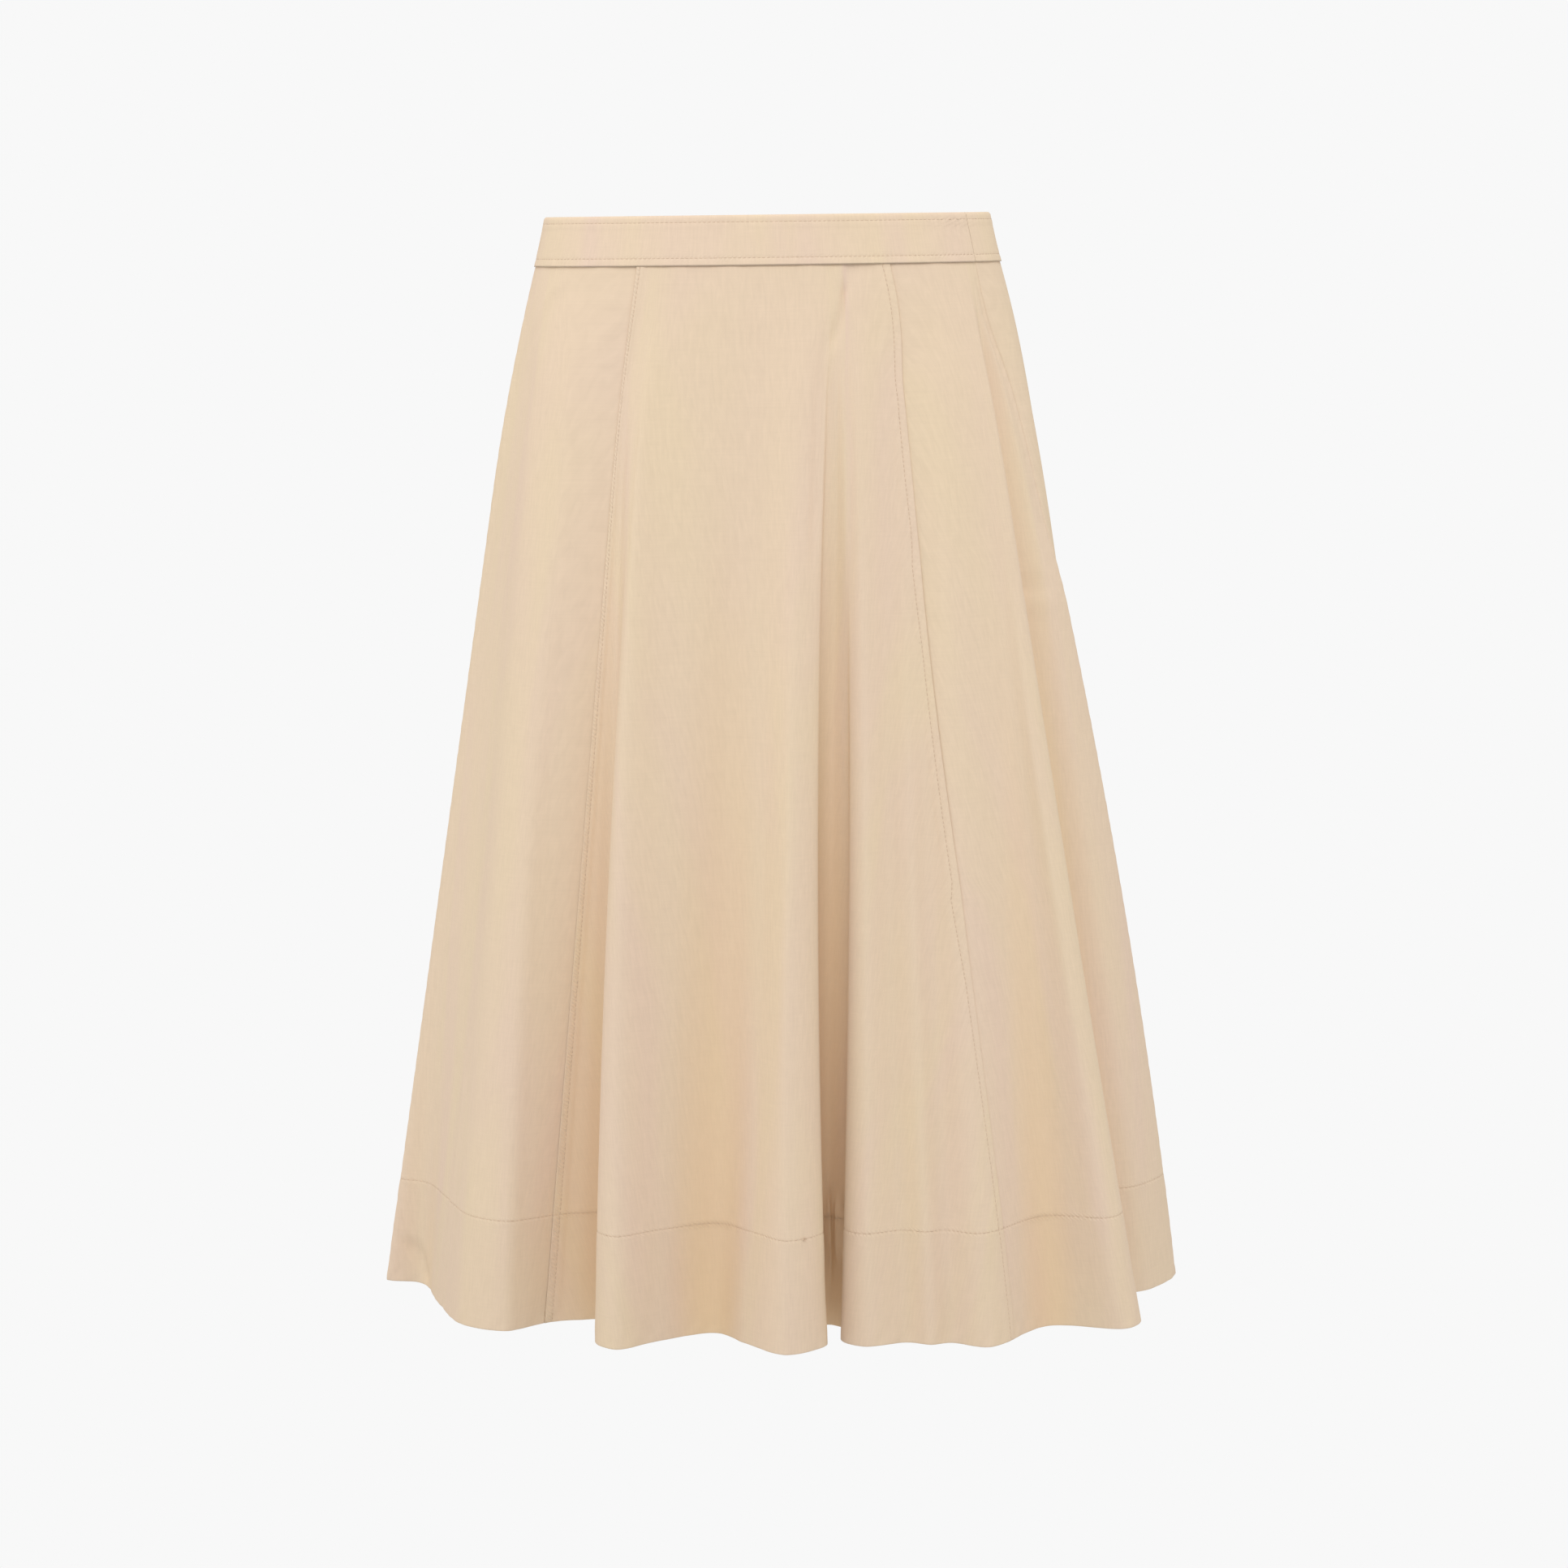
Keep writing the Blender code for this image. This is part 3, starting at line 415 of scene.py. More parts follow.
def seam_relief(beside, drop, kind):
    """Rise of the cloth beside a seam, with its stitches' groove and the puckers round them.
    beside: metres from the seam line. kind: lap, under or plain."""
    low_pull = smooth(BAND_DEEP + 0.001, BAND_DEEP + 0.014, drop)
    if kind == "under":
        row = -UNDER_GROOVE * hump(-beside - TOPSTITCH, 0.0009)
        dent = wander(drop + 0.9 * beside, 0.0104, 2.0) * hump(beside - 0.003, 0.004)
        return -UNDER_LAP * (1 - smooth(0.0, 0.0045, beside)) + row + UNDER_PUCKER * dent * low_pull
    if kind == "plain":
        rise = PLAIN_RISE * (1 - smooth(0.006, 0.011, beside)) - PLAIN_GROOVE * hump(beside, 0.0007)
        dent = wander(drop - 0.5 * beside, 0.0120, 0.9) * (1 - smooth(0.002, 0.012, beside))
        return rise + PLAIN_PUCKER * dent * low_pull
    rise = SEAM_LAP * (1 - 0.75 * smooth(0.0085, 0.0125, beside)
                       - 0.25 * smooth(0.010, 0.030, beside))
    row = -LAP_GROOVE * hump(beside - TOPSTITCH, 0.0007)
    slant = wander(drop + 0.8 * beside, 0.0066, 2.7) * np.sin(np.clip(beside / TOPSTITCH, 0, 1) * math.pi)
    beyond = wander(drop - 0.5 * beside, 0.0115, 1.1) * smooth(TOPSTITCH, 0.007, beside)
    beyond = beyond * (1 - smooth(0.008, 0.016, beside))
    return rise + row + (LAP_PUCKER * slant + BEYOND_PUCKER * beyond) * low_pull


FRONT_COLUMN, BACK_COLUMN = 0.0030, 0.0048      # from one column of cloth to the next
Gore = namedtuple("Gore", "name start end start_kind end_kind column")
GORES = [Gore(*row) for row in (
    ("gore_side_front_right", 0.0, CUTS["seam_front_right"], "plain", "under", FRONT_COLUMN),
    ("gore_front_centre", CUTS["seam_front_right"], SLANT_SEAM, "lap", "lap", FRONT_COLUMN),
    ("gore_side_front_left", SLANT_SEAM, CUTS["seam_side_left"], "under", "plain", FRONT_COLUMN),
    ("gore_side_back_left", CUTS["seam_side_left"], CUTS["seam_back_left"],
     "plain", "under", BACK_COLUMN),
    ("gore_back_left", CUTS["seam_back_left"], CUTS["seam_centre_back"],
     "lap", "plain", BACK_COLUMN),
    ("gore_back_right", CUTS["seam_centre_back"], CUTS["seam_back_right"],
     "plain", "lap", BACK_COLUMN),
    ("gore_side_back_right", CUTS["seam_back_right"], HEM_ROUND, "under", "plain", BACK_COLUMN),
)]

TOP_DROP = BAND_DEEP - TUCKED_IN
FACE = DROP - TOP_DROP      # cloth from a gore's top edge to the hem's fold
FOLD_RADIUS = FOLD_BACK / 2
FOLD_PATH = math.pi * FOLD_RADIUS       # cloth taken by turning back on itself
SEAM_DROPS = np.linspace(TOP_DROP, DROP, 60)


def seam_to_cut(gore, across, drop):
    """Cut at which a column lies. across runs from 0 at one seam to the gore's width at the other."""
    width = gore.end - gore.start
    for_start = 1 / np.interp(drop, SEAM_DROPS, speed_at(gore.start, SEAM_DROPS)) - 1
    for_end = 1 / np.interp(drop, SEAM_DROPS, speed_at(gore.end, SEAM_DROPS)) - 1
    knots = [-1.0, 0.0, FINE_ZONE, width / 2]
    moved = [-1.0, 0.0, FINE_ZONE, 0.0]
    return (gore.start + across + for_start * np.interp(across, knots, moved)
            - for_end * np.interp(width - across, knots, moved))


def folded_edge(path, kind):
    """A gore's edge: distance in from the seam line, and how far below its face the cloth lies."""
    if kind == "under":
        return path, np.zeros_like(path)
    turn = np.clip(-path / FOLD_RADIUS, 0.0, math.pi)
    past = np.maximum(-path - FOLD_PATH, 0.0)
    distance = FOLD_RADIUS * (1 - np.sin(turn)) + np.maximum(path, 0.0) + past
    return distance, FOLD_RADIUS * (1 - np.cos(turn))


# Painted shade at seam lines, at topstitching and at the hem's row, how much darker the doubled hem is,
# and more painted shade on the row's gathers where they lie in a hollow.
SEAM_SHADE, TOPSTITCH_SHADE, ROW_SHADE, HEM_DARKER, HOLLOW_SHADE = 0.10, 0.03, 0.10, 0.025, 0.16
HOLLOW_REACH = 0.040        # a place is compared with the cloth this far to both sides:
HOLLOW_FROM, HOLLOW_DEEP = 0.004, 0.020     # it is in a hollow from this deep, wholly this much deeper
OVAL_OUT = np.array((1.0, 3.4, 0.0))        # turns a place into the way out of the oval there


def hollow_at(places, cut, drop):
    """How far each place lies in a hollow between the cloth to both sides of it, from 0 to 1."""
    outward = places * OVAL_OUT
    outward /= np.linalg.norm(outward, axis=1)[:, None]
    beside = (skirt_place(cut - HOLLOW_REACH, drop) + skirt_place(cut + HOLLOW_REACH, drop)) / 2
    deep = ((beside - places) * outward).sum(axis=1)
    return np.clip((deep - HOLLOW_FROM) / HOLLOW_DEEP, 0.0, 1.0)


def gore_points(gore, across, down):
    """Places of a gore's cloth, and its marks: painted shade along its seam lines, stitch rows and hem row,
    with the doubled hem a little darker; how far stitches pucker it; and how far it lies in a hollow.
    across, down: its flat pattern, from allowance to allowance, and from the top edge round the hem."""
    width = gore.end - gore.start
    start_distance, start_below = folded_edge(across, gore.start_kind)
    end_distance, end_below = folded_edge(width - across, gore.end_kind)
    near_start = across < width / 2
    placed = np.where(near_start, start_distance, width - end_distance)
    below = np.where(near_start, start_below, end_below)
    turned = np.clip((down - FACE) / FOLD_RADIUS, 0.0, math.pi)
    up_inside = np.maximum(down - FACE - FOLD_PATH, 0.0)
    drop = TOP_DROP + np.minimum(down, FACE) * (1 - FOLD_RADIUS / FACE)
    drop = drop + FOLD_RADIUS * np.sin(turned) - up_inside
    cut = seam_to_cut(gore, placed, drop)
    level = np.where(near_start, seam_relief(start_distance, drop, gore.start_kind),
                     seam_relief(end_distance, drop, gore.end_kind))
    plain = np.where(near_start, gore.start_kind == "plain", gore.end_kind == "plain")
    distance = np.where(near_start, start_distance, end_distance)
    inside = -FOLD_BACK - 0.0007 * plain * (1 - smooth(0.010, 0.014, distance))
    level = level + (inside - level) * (1 - np.cos(turned)) / 2
    level = level + hem_relief(cut, drop) + crease_relief(cut, drop) - below
    lapped = np.where(near_start, gore.start_kind == "lap", gore.end_kind == "lap")
    to_row = np.abs(DROP - HEM_ROW - drop)
    # Painted shade in the gaps at seam lines and in the grooves of topstitching and of the hem's row, and
    # the doubled hem a little darker.
    shade = (SEAM_SHADE * hump(distance, 0.0005) * (1 - 0.9 * plain)
             + TOPSTITCH_SHADE * lapped * hump(distance - TOPSTITCH, 0.0006)
             + ROW_SHADE * hump(to_row, 0.0006)
             + HEM_DARKER * smooth(DROP - HEM_ROW, DROP - HEM_ROW + 0.002, drop))
    pucker = lapped * smooth(0.0, 0.0012, distance) * smooth(TOPSTITCH + 0.0016, TOPSTITCH, distance)
    pucker = pucker * (1 - 0.7 * smooth(0.45, 0.55, cut))
    pucker = np.maximum(pucker, 0.8 * smooth(0.0034, 0.0006, to_row))
    pucker = pucker * (0.75 + 0.35 * wander(drop + cut, 0.037, 0.7))
    places = skirt_place(cut, drop)
    hollow = hollow_at(places, cut, drop)
    # More painted shade on the hem row's gathers where they lie in a hollow.
    shade = shade + HOLLOW_SHADE * hollow * smooth(0.0040, 0.0, to_row)
    marks = {"shade": shade, "pucker": pucker, "hollow": hollow}
    return places + skirt_out(cut, drop) * level[:, None], marks


def gore_grid(gore):
    """Flat columns and rows of a gore's pattern, closer together at seams, stitches and folds."""
    width = gore.end - gore.start
    edge_in = [0.0, 0.0005, 0.0012, 0.0024, 0.0036, 0.0044, 0.0050, 0.0056, 0.0064, 0.0078, 0.0094,
               0.0108, FINE_ZONE]
    folded_out = [-FOLD_PATH * share for share in (0.25, 0.5, 0.75, 1.0)] + [-0.004, -ALLOWANCE]
    under_out = [-0.0015, -0.003, -0.0042, -0.0050, -0.0058, -0.007, -ALLOWANCE]
    middle = np.linspace(FINE_ZONE, width - FINE_ZONE, round((width - 2 * FINE_ZONE) / gore.column) + 1)
    if gore.start < GATHERED[0] and GATHERED[1] < gore.end:
        closer = np.arange(GATHERED[0], GATHERED[1], gore.column / 3) - gore.start
        apart = (middle < closer[0] - gore.column / 2) | (closer[-1] + gore.column / 2 < middle)
        middle = np.sort(np.concatenate([middle[apart], closer]))
    start_out = under_out if gore.start_kind == "under" else folded_out
    end_out = under_out if gore.end_kind == "under" else folded_out
    columns = sorted(set(start_out + edge_in[:-1])) + list(middle)
    columns += sorted(width - x for x in end_out + edge_in[:-1])
    stitch = FACE - HEM_ROW
    rows = list(np.linspace(0.0, 0.030, 9)) + list(np.linspace(0.035, stitch - 0.012, 98))
    rows += [stitch + step for step in (-0.009, -0.0065, -0.0045, -0.003, -0.0018, -0.0009, 0.0,
                                        0.0009, 0.0018, 0.003, 0.0045)]
    rows += list(np.linspace(stitch + 0.007, FACE - 0.010, 14))
    rows += [FACE - step for step in (0.007, 0.0045, 0.0025, 0.001)]
    rows += [FACE + FOLD_PATH * share for share in (0.0, 0.25, 0.5, 0.75, 1.0)]
    rows += list(np.linspace(FACE + FOLD_PATH + 0.003, FACE + FOLD_PATH + HEM_DEEP, 11))
    return np.array(columns), np.array(rows)


def flat_sheet(columns, rows):
    """Grid of cloth lying flat, with its columns and rows moved to the given places."""
    mesh = bmesh.new()
    bmesh.ops.create_grid(mesh, x_segments=len(columns) - 1, y_segments=len(rows) - 1, size=0.5)
    places = np.array([vert.co for vert in mesh.verts])
    column = np.rint((places[:, 0] + 0.5) * (len(columns) - 1)).astype(int)
    row = np.rint((0.5 - places[:, 1]) * (len(rows) - 1)).astype(int)
    for vert, x, y in zip(mesh.verts, columns[column], rows[row]):
        vert.co = (x, -y, 0.0)
    return mesh


def gore_sheet(gore):
    """A gore's flat pattern, without hem at its allowances and with finer rows beside its seams."""
    columns, rows = gore_grid(gore)
    width = gore.end - gore.start
    mesh = flat_sheet(columns, rows)
    spare = [face for face in mesh.faces
             if not 0.0 < face.calc_center_median().x < width and -face.calc_center_median().y > FACE]
    bmesh.ops.delete(mesh, geom=spare, context="FACES")
    fine = []
    for edge in mesh.edges:
        one, two = (vert.co for vert in edge.verts)
        upright = abs(one.x - two.x) < 1e-7 and 0.003 < abs(one.y - two.y)
        beside = min(abs(one.x), abs(width - one.x))
        if upright and beside < 0.0079 and -min(one.y, two.y) < FACE:
            fine.append(edge)
    bmesh.ops.subdivide_edges(mesh, edges=fine, cuts=2, use_grid_fill=True)
    return mesh


def cloth_object(name, mesh, flat, places, marks):
    """Moves a flat sheet's points to their places, keeps its flat pattern as a UV map in metres and
    its marks as attributes, and gives it the cloth's thickness."""
    data = bpy.data.meshes.new(name)
    mesh.to_mesh(data)
    mesh.free()
    data.vertices.foreach_set("co", np.ascontiguousarray(places, dtype=np.float32).ravel())
    corner = np.empty(len(data.loops), dtype=np.int32)
    data.loops.foreach_get("vertex_index", corner)
    weave = data.uv_layers.new(name="pattern")
    weave.data.foreach_set("uv", np.ascontiguousarray(flat[corner], dtype=np.float32).ravel())
    for label, values in marks.items():
        kept = data.attributes.new(label, "FLOAT", "POINT")
        kept.data.foreach_set("value", np.ascontiguousarray(values, dtype=np.float32))
    data.update()
    made = bpy.data.objects.new(name, data)
    bpy.context.collection.objects.link(made)
    data.shade_smooth()
    wall = made.modifiers.new("thickness", "SOLIDIFY")
    wall.thickness = CLOTH
    wall.offset = -1.0
    return made


WAVE_SCALE = 0.314          # scale of a wave texture with one wave to a metre
PUCKER_STEP = 0.0023        # from one slanting pucker at a row of stitches to the next


def settle(node, settings):
    """Sets a node's own values, and gives it back."""
    for label, value in settings.items():
        node.inputs[label].default_value = value
    return node


def poplin(name):
    """Matte plain-woven cotton: uneven threads both ways, a soft sheen and faint upright streaks, with
    painted shade laid over it from the cloth's marks.
    """
    made = bpy.data.materials.new(name)
    made.use_nodes = True
    nodes, links = made.node_tree.nodes, made.node_tree.links
    shader = nodes["Principled BSDF"]
    pattern = nodes.new("ShaderNodeUVMap")
    pattern.uv_map = "pattern"

    def mark(name):
        node = nodes.new("ShaderNodeAttribute")
        node.attribute_name = name
        return node.outputs["Fac"]

    def threads(across, along, detail):
        stretch = settle(nodes.new("ShaderNodeMapping"), {"Scale": (across, along, 1.0)})
        links.new(pattern.outputs["UV"], stretch.inputs["Vector"])
        noise = settle(nodes.new("ShaderNodeTexNoise"),
                       {"Scale": 1.0, "Detail": detail, "Distortion": 0.7})
        links.new(stretch.outputs["Vector"], noise.inputs["Vector"])
        return noise.outputs["Fac"]

    def join(operation, one, two):
        node = nodes.new("ShaderNodeMath")
        node.operation = operation
        for slot, value in zip(node.inputs, (one, two)):
            if isinstance(value, float):
                slot.default_value = value
            else:
                links.new(value, slot)
        return node.outputs["Value"]

    def blend(factor, light, dark):
        node = nodes.new("ShaderNodeMix")
        node.data_type = "RGBA"
        for slot, value in zip(("Factor", "A", "B"), (factor, light, dark)):
            if isinstance(value, tuple):
                node.inputs[slot].default_value = value
            else:
                links.new(value, node.inputs[slot])
        return node.outputs["Result"]

    warp = threads(760.0, 70.0, 2.0)
    weft = threads(70.0, 760.0, 2.0)
    grain = join("ADD", join("MULTIPLY", warp, 0.68), join("MULTIPLY", weft, 0.32))
    patch = threads(26.0, 4.5, 1.0)
    light = blend(patch, (0.850, 0.696, 0.473, 1.0), (0.834, 0.641, 0.517, 1.0))
    dark = blend(patch, (0.716, 0.586, 0.392, 1.0), (0.702, 0.535, 0.430, 1.0))
    # Painted shade: the cloth turns a warmer, darker brown where it lies in a hollow, for the light blocked
    # and bounced between its folds.
    painted_hollow_shade = join("MULTIPLY", mark("hollow"), 0.40)
    cloth = blend(painted_hollow_shade, blend(grain, dark, light), (0.850, 0.590, 0.320, 1.0))
    # Painted shade from the shade mark: seam gaps, stitch grooves, the band's lower fold and its joints;
    # the same mark makes the doubled hem a little darker.
    cloth = blend(mark("shade"), cloth, (0.300, 0.170, 0.090, 1.0))
    links.new(cloth, shader.inputs["Base Color"])
    bump = settle(nodes.new("ShaderNodeBump"), {"Strength": 0.35, "Distance": 0.00008})
    links.new(grain, bump.inputs["Height"])

    slant = settle(nodes.new("ShaderNodeMapping"), {"Rotation": (0.0, 0.0, math.radians(48.0))})
    links.new(pattern.outputs["UV"], slant.inputs["Vector"])
    ridges = settle(nodes.new("ShaderNodeTexWave"), {"Scale": WAVE_SCALE / PUCKER_STEP,
                    "Distortion": 3.0, "Detail": 1.0, "Detail Scale": 1.6})
    ridges.bands_direction = "Y"
    links.new(slant.outputs["Vector"], ridges.inputs["Vector"])
    pull = settle(nodes.new("ShaderNodeBump"), {"Strength": 1.0, "Distance": 0.00025})
    links.new(join("MULTIPLY", ridges.outputs["Fac"], mark("pucker")), pull.inputs["Height"])
    links.new(bump.outputs["Normal"], pull.inputs["Normal"])
    links.new(pull.outputs["Normal"], shader.inputs["Normal"])
    settle(shader, {"Roughness": 0.85, "Sheen Weight": 0.06, "Sheen Roughness": 0.45,
                    "Sheen Tint": (1.0, 0.84, 0.68, 1.0), "Specular IOR Level": 0.08})
    return made


def flat_size(gore):
    """Widest width, length and area of a gore's flat pattern, and its widths down the length."""
    drops = np.linspace(TOP_DROP, DROP, 25)
    cuts = np.linspace(gore.start, gore.end, 400)
    widths = []
    for drop in drops:
        ring = skirt_place(cuts, np.full_like(cuts, drop))
        widths.append(np.linalg.norm(np.diff(ring, axis=0), axis=1).sum() + 2 * ALLOWANCE)
    middle = skirt_place(np.full_like(drops, (gore.start + gore.end) / 2), drops)
    long = np.linalg.norm(np.diff(middle, axis=0), axis=1).sum()
    area = np.mean(widths) * long + widths[-1] * HEM_DEEP
    return max(widths), long + HEM_DEEP, area, np.array(widths)


for gore in GORES:
    wide, long, area, widths = flat_size(gore)
    mesh = gore_sheet(gore)
    spots = np.array([vert.co for vert in mesh.verts])
    at_drop = np.interp(-spots[:, 1], np.linspace(0.0, FACE, 25), widths - 2 * ALLOWANCE)
    across = (spots[:, 0] / (gore.end - gore.start) - 0.5) * at_drop
    places, marks = gore_points(gore, spots[:, 0], -spots[:, 1])
    flat = np.stack([across, spots[:, 1]], axis=-1)
    piece = cloth_object(gore.name + "_cloth", mesh, flat, places, marks)
    piece.data.materials.append(poplin(gore.name + "_poplin"))
    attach(piece, "root")
    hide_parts(gore.name)
    print(gore.name, "flat", round(wide, 3), round(long, 3), "area", round(area, 4))

# ---- Stitching of the seams and the hem -----------------------------------------------------
# Lockstitch in matching thread, about three stitches to a centimetre: one row beside each lapped
# seam through all its layers, and one row round the hem that holds its turned-up edge.

STITCH = 0.0032             # from one stitch to the next
THREAD_LONG = 0.0025        # what shows of each stitch
THREAD_WIDE, THREAD_HIGH = 0.00050, 0.00032
LINE_POINTS = 1800          # points along a line that is stitched,
BESIDE_LINE = 0.0006        # and how far beside it the cloth's tilt is read

bead = bmesh.new()
bmesh.ops.create_uvsphere(bead, u_segments=5, v_segments=4, radius=0.5)
BEAD = np.array([vert.co for vert in bead.verts])
BEAD_FACES = [[vert.index for vert in face.verts] for face in bead.faces]
bead.free()


def two_toned(name, texture, settings, tones, bump, roughness):
    """Material with one fine texture that blends two tones and raises a bump. A wave follows the
    flat pattern and a noise the object."""
    made = bpy.data.materials.new(name)
    made.use_nodes = True
    nodes, links = made.node_tree.nodes, made.node_tree.links
    shader = nodes["Principled BSDF"]
    grain = settle(nodes.new(texture), settings)
    if texture == "ShaderNodeTexWave":
        place = nodes.new("ShaderNodeUVMap")
        place.uv_map = "pattern"
        links.new(place.outputs["UV"], grain.inputs["Vector"])
    else:
        place = nodes.new("ShaderNodeTexCoord")
        links.new(place.outputs["Object"], grain.inputs["Vector"])
    tone = nodes.new("ShaderNodeMix")
    tone.data_type = "RGBA"
    settle(tone, dict(zip(("A", "B"), tones)))
    links.new(grain.outputs["Fac"], tone.inputs["Factor"])
    links.new(tone.outputs["Result"], shader.inputs["Base Color"])
    if bump:
        raised = settle(nodes.new("ShaderNodeBump"), dict(zip(("Strength", "Distance"), bump)))
        links.new(grain.outputs["Fac"], raised.inputs["Height"])
        links.new(raised.outputs["Normal"], shader.inputs["Normal"])
    shader.inputs["Roughness"].default_value = roughness
    return made


def thread_look(name):
    """Matching polyester thread with a light twist, coloured darker than the cloth as painted shade of its
    needle holes and of the shadows round each stitch.
    """
    return two_toned(name, "ShaderNodeTexNoise", {"Scale": 900.0, "Detail": 1.0},
                     ((0.60, 0.44, 0.31, 1.0), (0.71, 0.54, 0.39, 1.0)), (0.4, 0.0001), 0.55)


def unit(vectors):
    """The same directions, each one metre long."""
    return vectors / np.linalg.norm(vectors, axis=-1, keepdims=True)


def beads(middle, along, out, size):
    """Corners of small rounded bars: their middles, long ways and outward ways, and one size."""
    across = unit(np.cross(out, along))
    out = unit(np.cross(along, across))
    wide, high, long = (BEAD[:, axis] * size[axis] for axis in range(3))
    return (middle[:, None, :] + across[:, None, :] * wide[None, :, None]
            + out[:, None, :] * high[None, :, None] + along[:, None, :] * long[None, :, None])


def stitch_row(line, side):
    """A stitch for every step along a line of points. side: points a little beside them."""
    along = np.concatenate([[0.0], np.cumsum(np.linalg.norm(np.diff(line, axis=0), axis=1))])
    count = int(along[-1] / STITCH)
    steps = (np.arange(count) + 0.5) * along[-1] / count

    def at(places, distance):
        return np.stack([np.interp(distance, along, places[:, axis]) for axis in range(3)], axis=-1)

    forward = unit(at(line, steps + 0.0005) - at(line, steps - 0.0005))
    beside = unit(at(side, steps) - at(line, steps))
    out = unit(np.cross(forward, beside))
    slant = np.radians(4.0 * np.sin(np.arange(count) * 2.4))[:, None]
    forward = forward * np.cos(slant) + beside * np.sin(slant)
    size = (THREAD_WIDE, THREAD_HIGH, THREAD_LONG)
    return beads(at(line, steps) + out * 0.00004, forward, out, size)


def bead_object(name, corners, look, body="root"):
    """Joins rounded bars into one piece."""
    faces = [[corner + len(BEAD) * number for corner in face]
             for number in range(len(corners)) for face in BEAD_FACES]
    data = bpy.data.meshes.new(name)
    data.from_pydata(corners.reshape(-1, 3).tolist(), [], faces)
    data.shade_smooth()
    data.materials.append(look)
    made = bpy.data.objects.new(name, data)
    bpy.context.collection.objects.link(made)
    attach(made, body)
    return made


for gore in GORES:
    width = gore.end - gore.start
    down = np.linspace(TUCKED_IN, FACE - BESIDE_LINE, LINE_POINTS)
    rows = []
    for kind, at in ((gore.start_kind, TOPSTITCH), (gore.end_kind, width - TOPSTITCH)):
        if kind == "lap":
            across = np.full(LINE_POINTS, at)
            rows.append(stitch_row(gore_points(gore, across, down)[0],
                                   gore_points(gore, across + BESIDE_LINE, down)[0]))
    across = np.linspace(0.0002, width - 0.0002, LINE_POINTS)
    level = np.full(LINE_POINTS, FACE - HEM_ROW)
    rows.append(stitch_row(gore_points(gore, across, level)[0],
                           gore_points(gore, across, level - BESIDE_LINE)[0]))
    bead_object(gore.name + "_stitches", np.concatenate(rows), thread_look(gore.name + "_thread"))

# The end of the hem's thread, knotted in a small loop on the centre flute.
KNOT_CUT = 0.509            # its place along the hem
KNOT_WIDE, KNOT_HIGH = 0.0013, 0.0010       # half the loop's width and height
knot = skirt_place(KNOT_CUT, DROP - HEM_ROW)
knot_out = skirt_out(KNOT_CUT, DROP - HEM_ROW)
knot_aside = unit(skirt_place(KNOT_CUT + 0.001, DROP - HEM_ROW) - knot)
turns = np.linspace(0.2, 6.9, 13)[:, None]
loop = (knot + knot_aside * np.cos(turns) * KNOT_WIDE
        + np.array([0.0, 0.0, KNOT_HIGH]) * np.sin(turns) + knot_out * (0.0005 + 0.0001 * turns))
corners = beads((loop[1:] + loop[:-1]) / 2, unit(loop[1:] - loop[:-1]), np.tile(knot_out, (12, 1)),
                (0.00042, 0.00042, 0.0010))
bead_object("hem_thread_end", corners, thread_look("hem_thread_end_thread"))

# ---- Waistband ------------------------------------------------------------------------------
# A straight band of the same poplin in three lengths, folded down over the gores inside and
# outside. A row of stitches runs just under its top fold and another 5 mm above its lower edge,
# below which the folded lip stands free.

BAND_OUT = 0.0009           # outer face of the band, out from the gores
BAND_FOLD = 0.0019          # half the thickness of the band where it folds over at the top
TOP_ROW = 0.0046            # rows of stitches, below the band's top edge
LOW_ROW = BAND_DEEP - 0.0052
BAND_TURN = 0.0060          # cloth turned under along the band's lower edges
BAND_COLUMN = 0.0015        # from one column of the band's cloth to the next
TOP_GROOVE, LOW_GROOVE = 0.00018, 0.00022       # depths that the two rows pull down
IMPRINT = 0.00020           # how far the turned edges inside show through, under the top fold
LIP_WAVE = 0.00012          # waves of the lip below the lower row,
BAND_SLACK, BAND_PUCKER = 0.00024, 0.00012      # of the cloth between the rows and beside them,
BAND_PULL = 0.00030         # and of the slanting creases in front of the left side joint
FIRST_FACE = BAND_TURN + FOLD_PATH      # cloth from the turned-in edge to the band's lower fold,
FIRST_TOP = FIRST_FACE + BAND_DEEP - BAND_FOLD      # to the top fold,
FIRST_INNER = FIRST_TOP + math.pi * BAND_FOLD       # over it,
FIRST_FOOT = FIRST_INNER + BAND_DEEP - BAND_FOLD    # and down inside to the lower fold there


def oval_place(angle, drop, proud):
    """Point on the waist oval, moved out. Angle in radians from the middle of the front."""
    wide, deep = half_wide(drop), half_deep(drop)
    out = unit(np.stack([deep * np.sin(angle), -wide * np.cos(angle)], axis=-1))
    ring = np.stack([wide * np.sin(angle), -deep * np.cos(angle)], axis=-1) + out * proud[:, None]
    return np.concatenate([ring, -drop[:, None]], axis=-1)


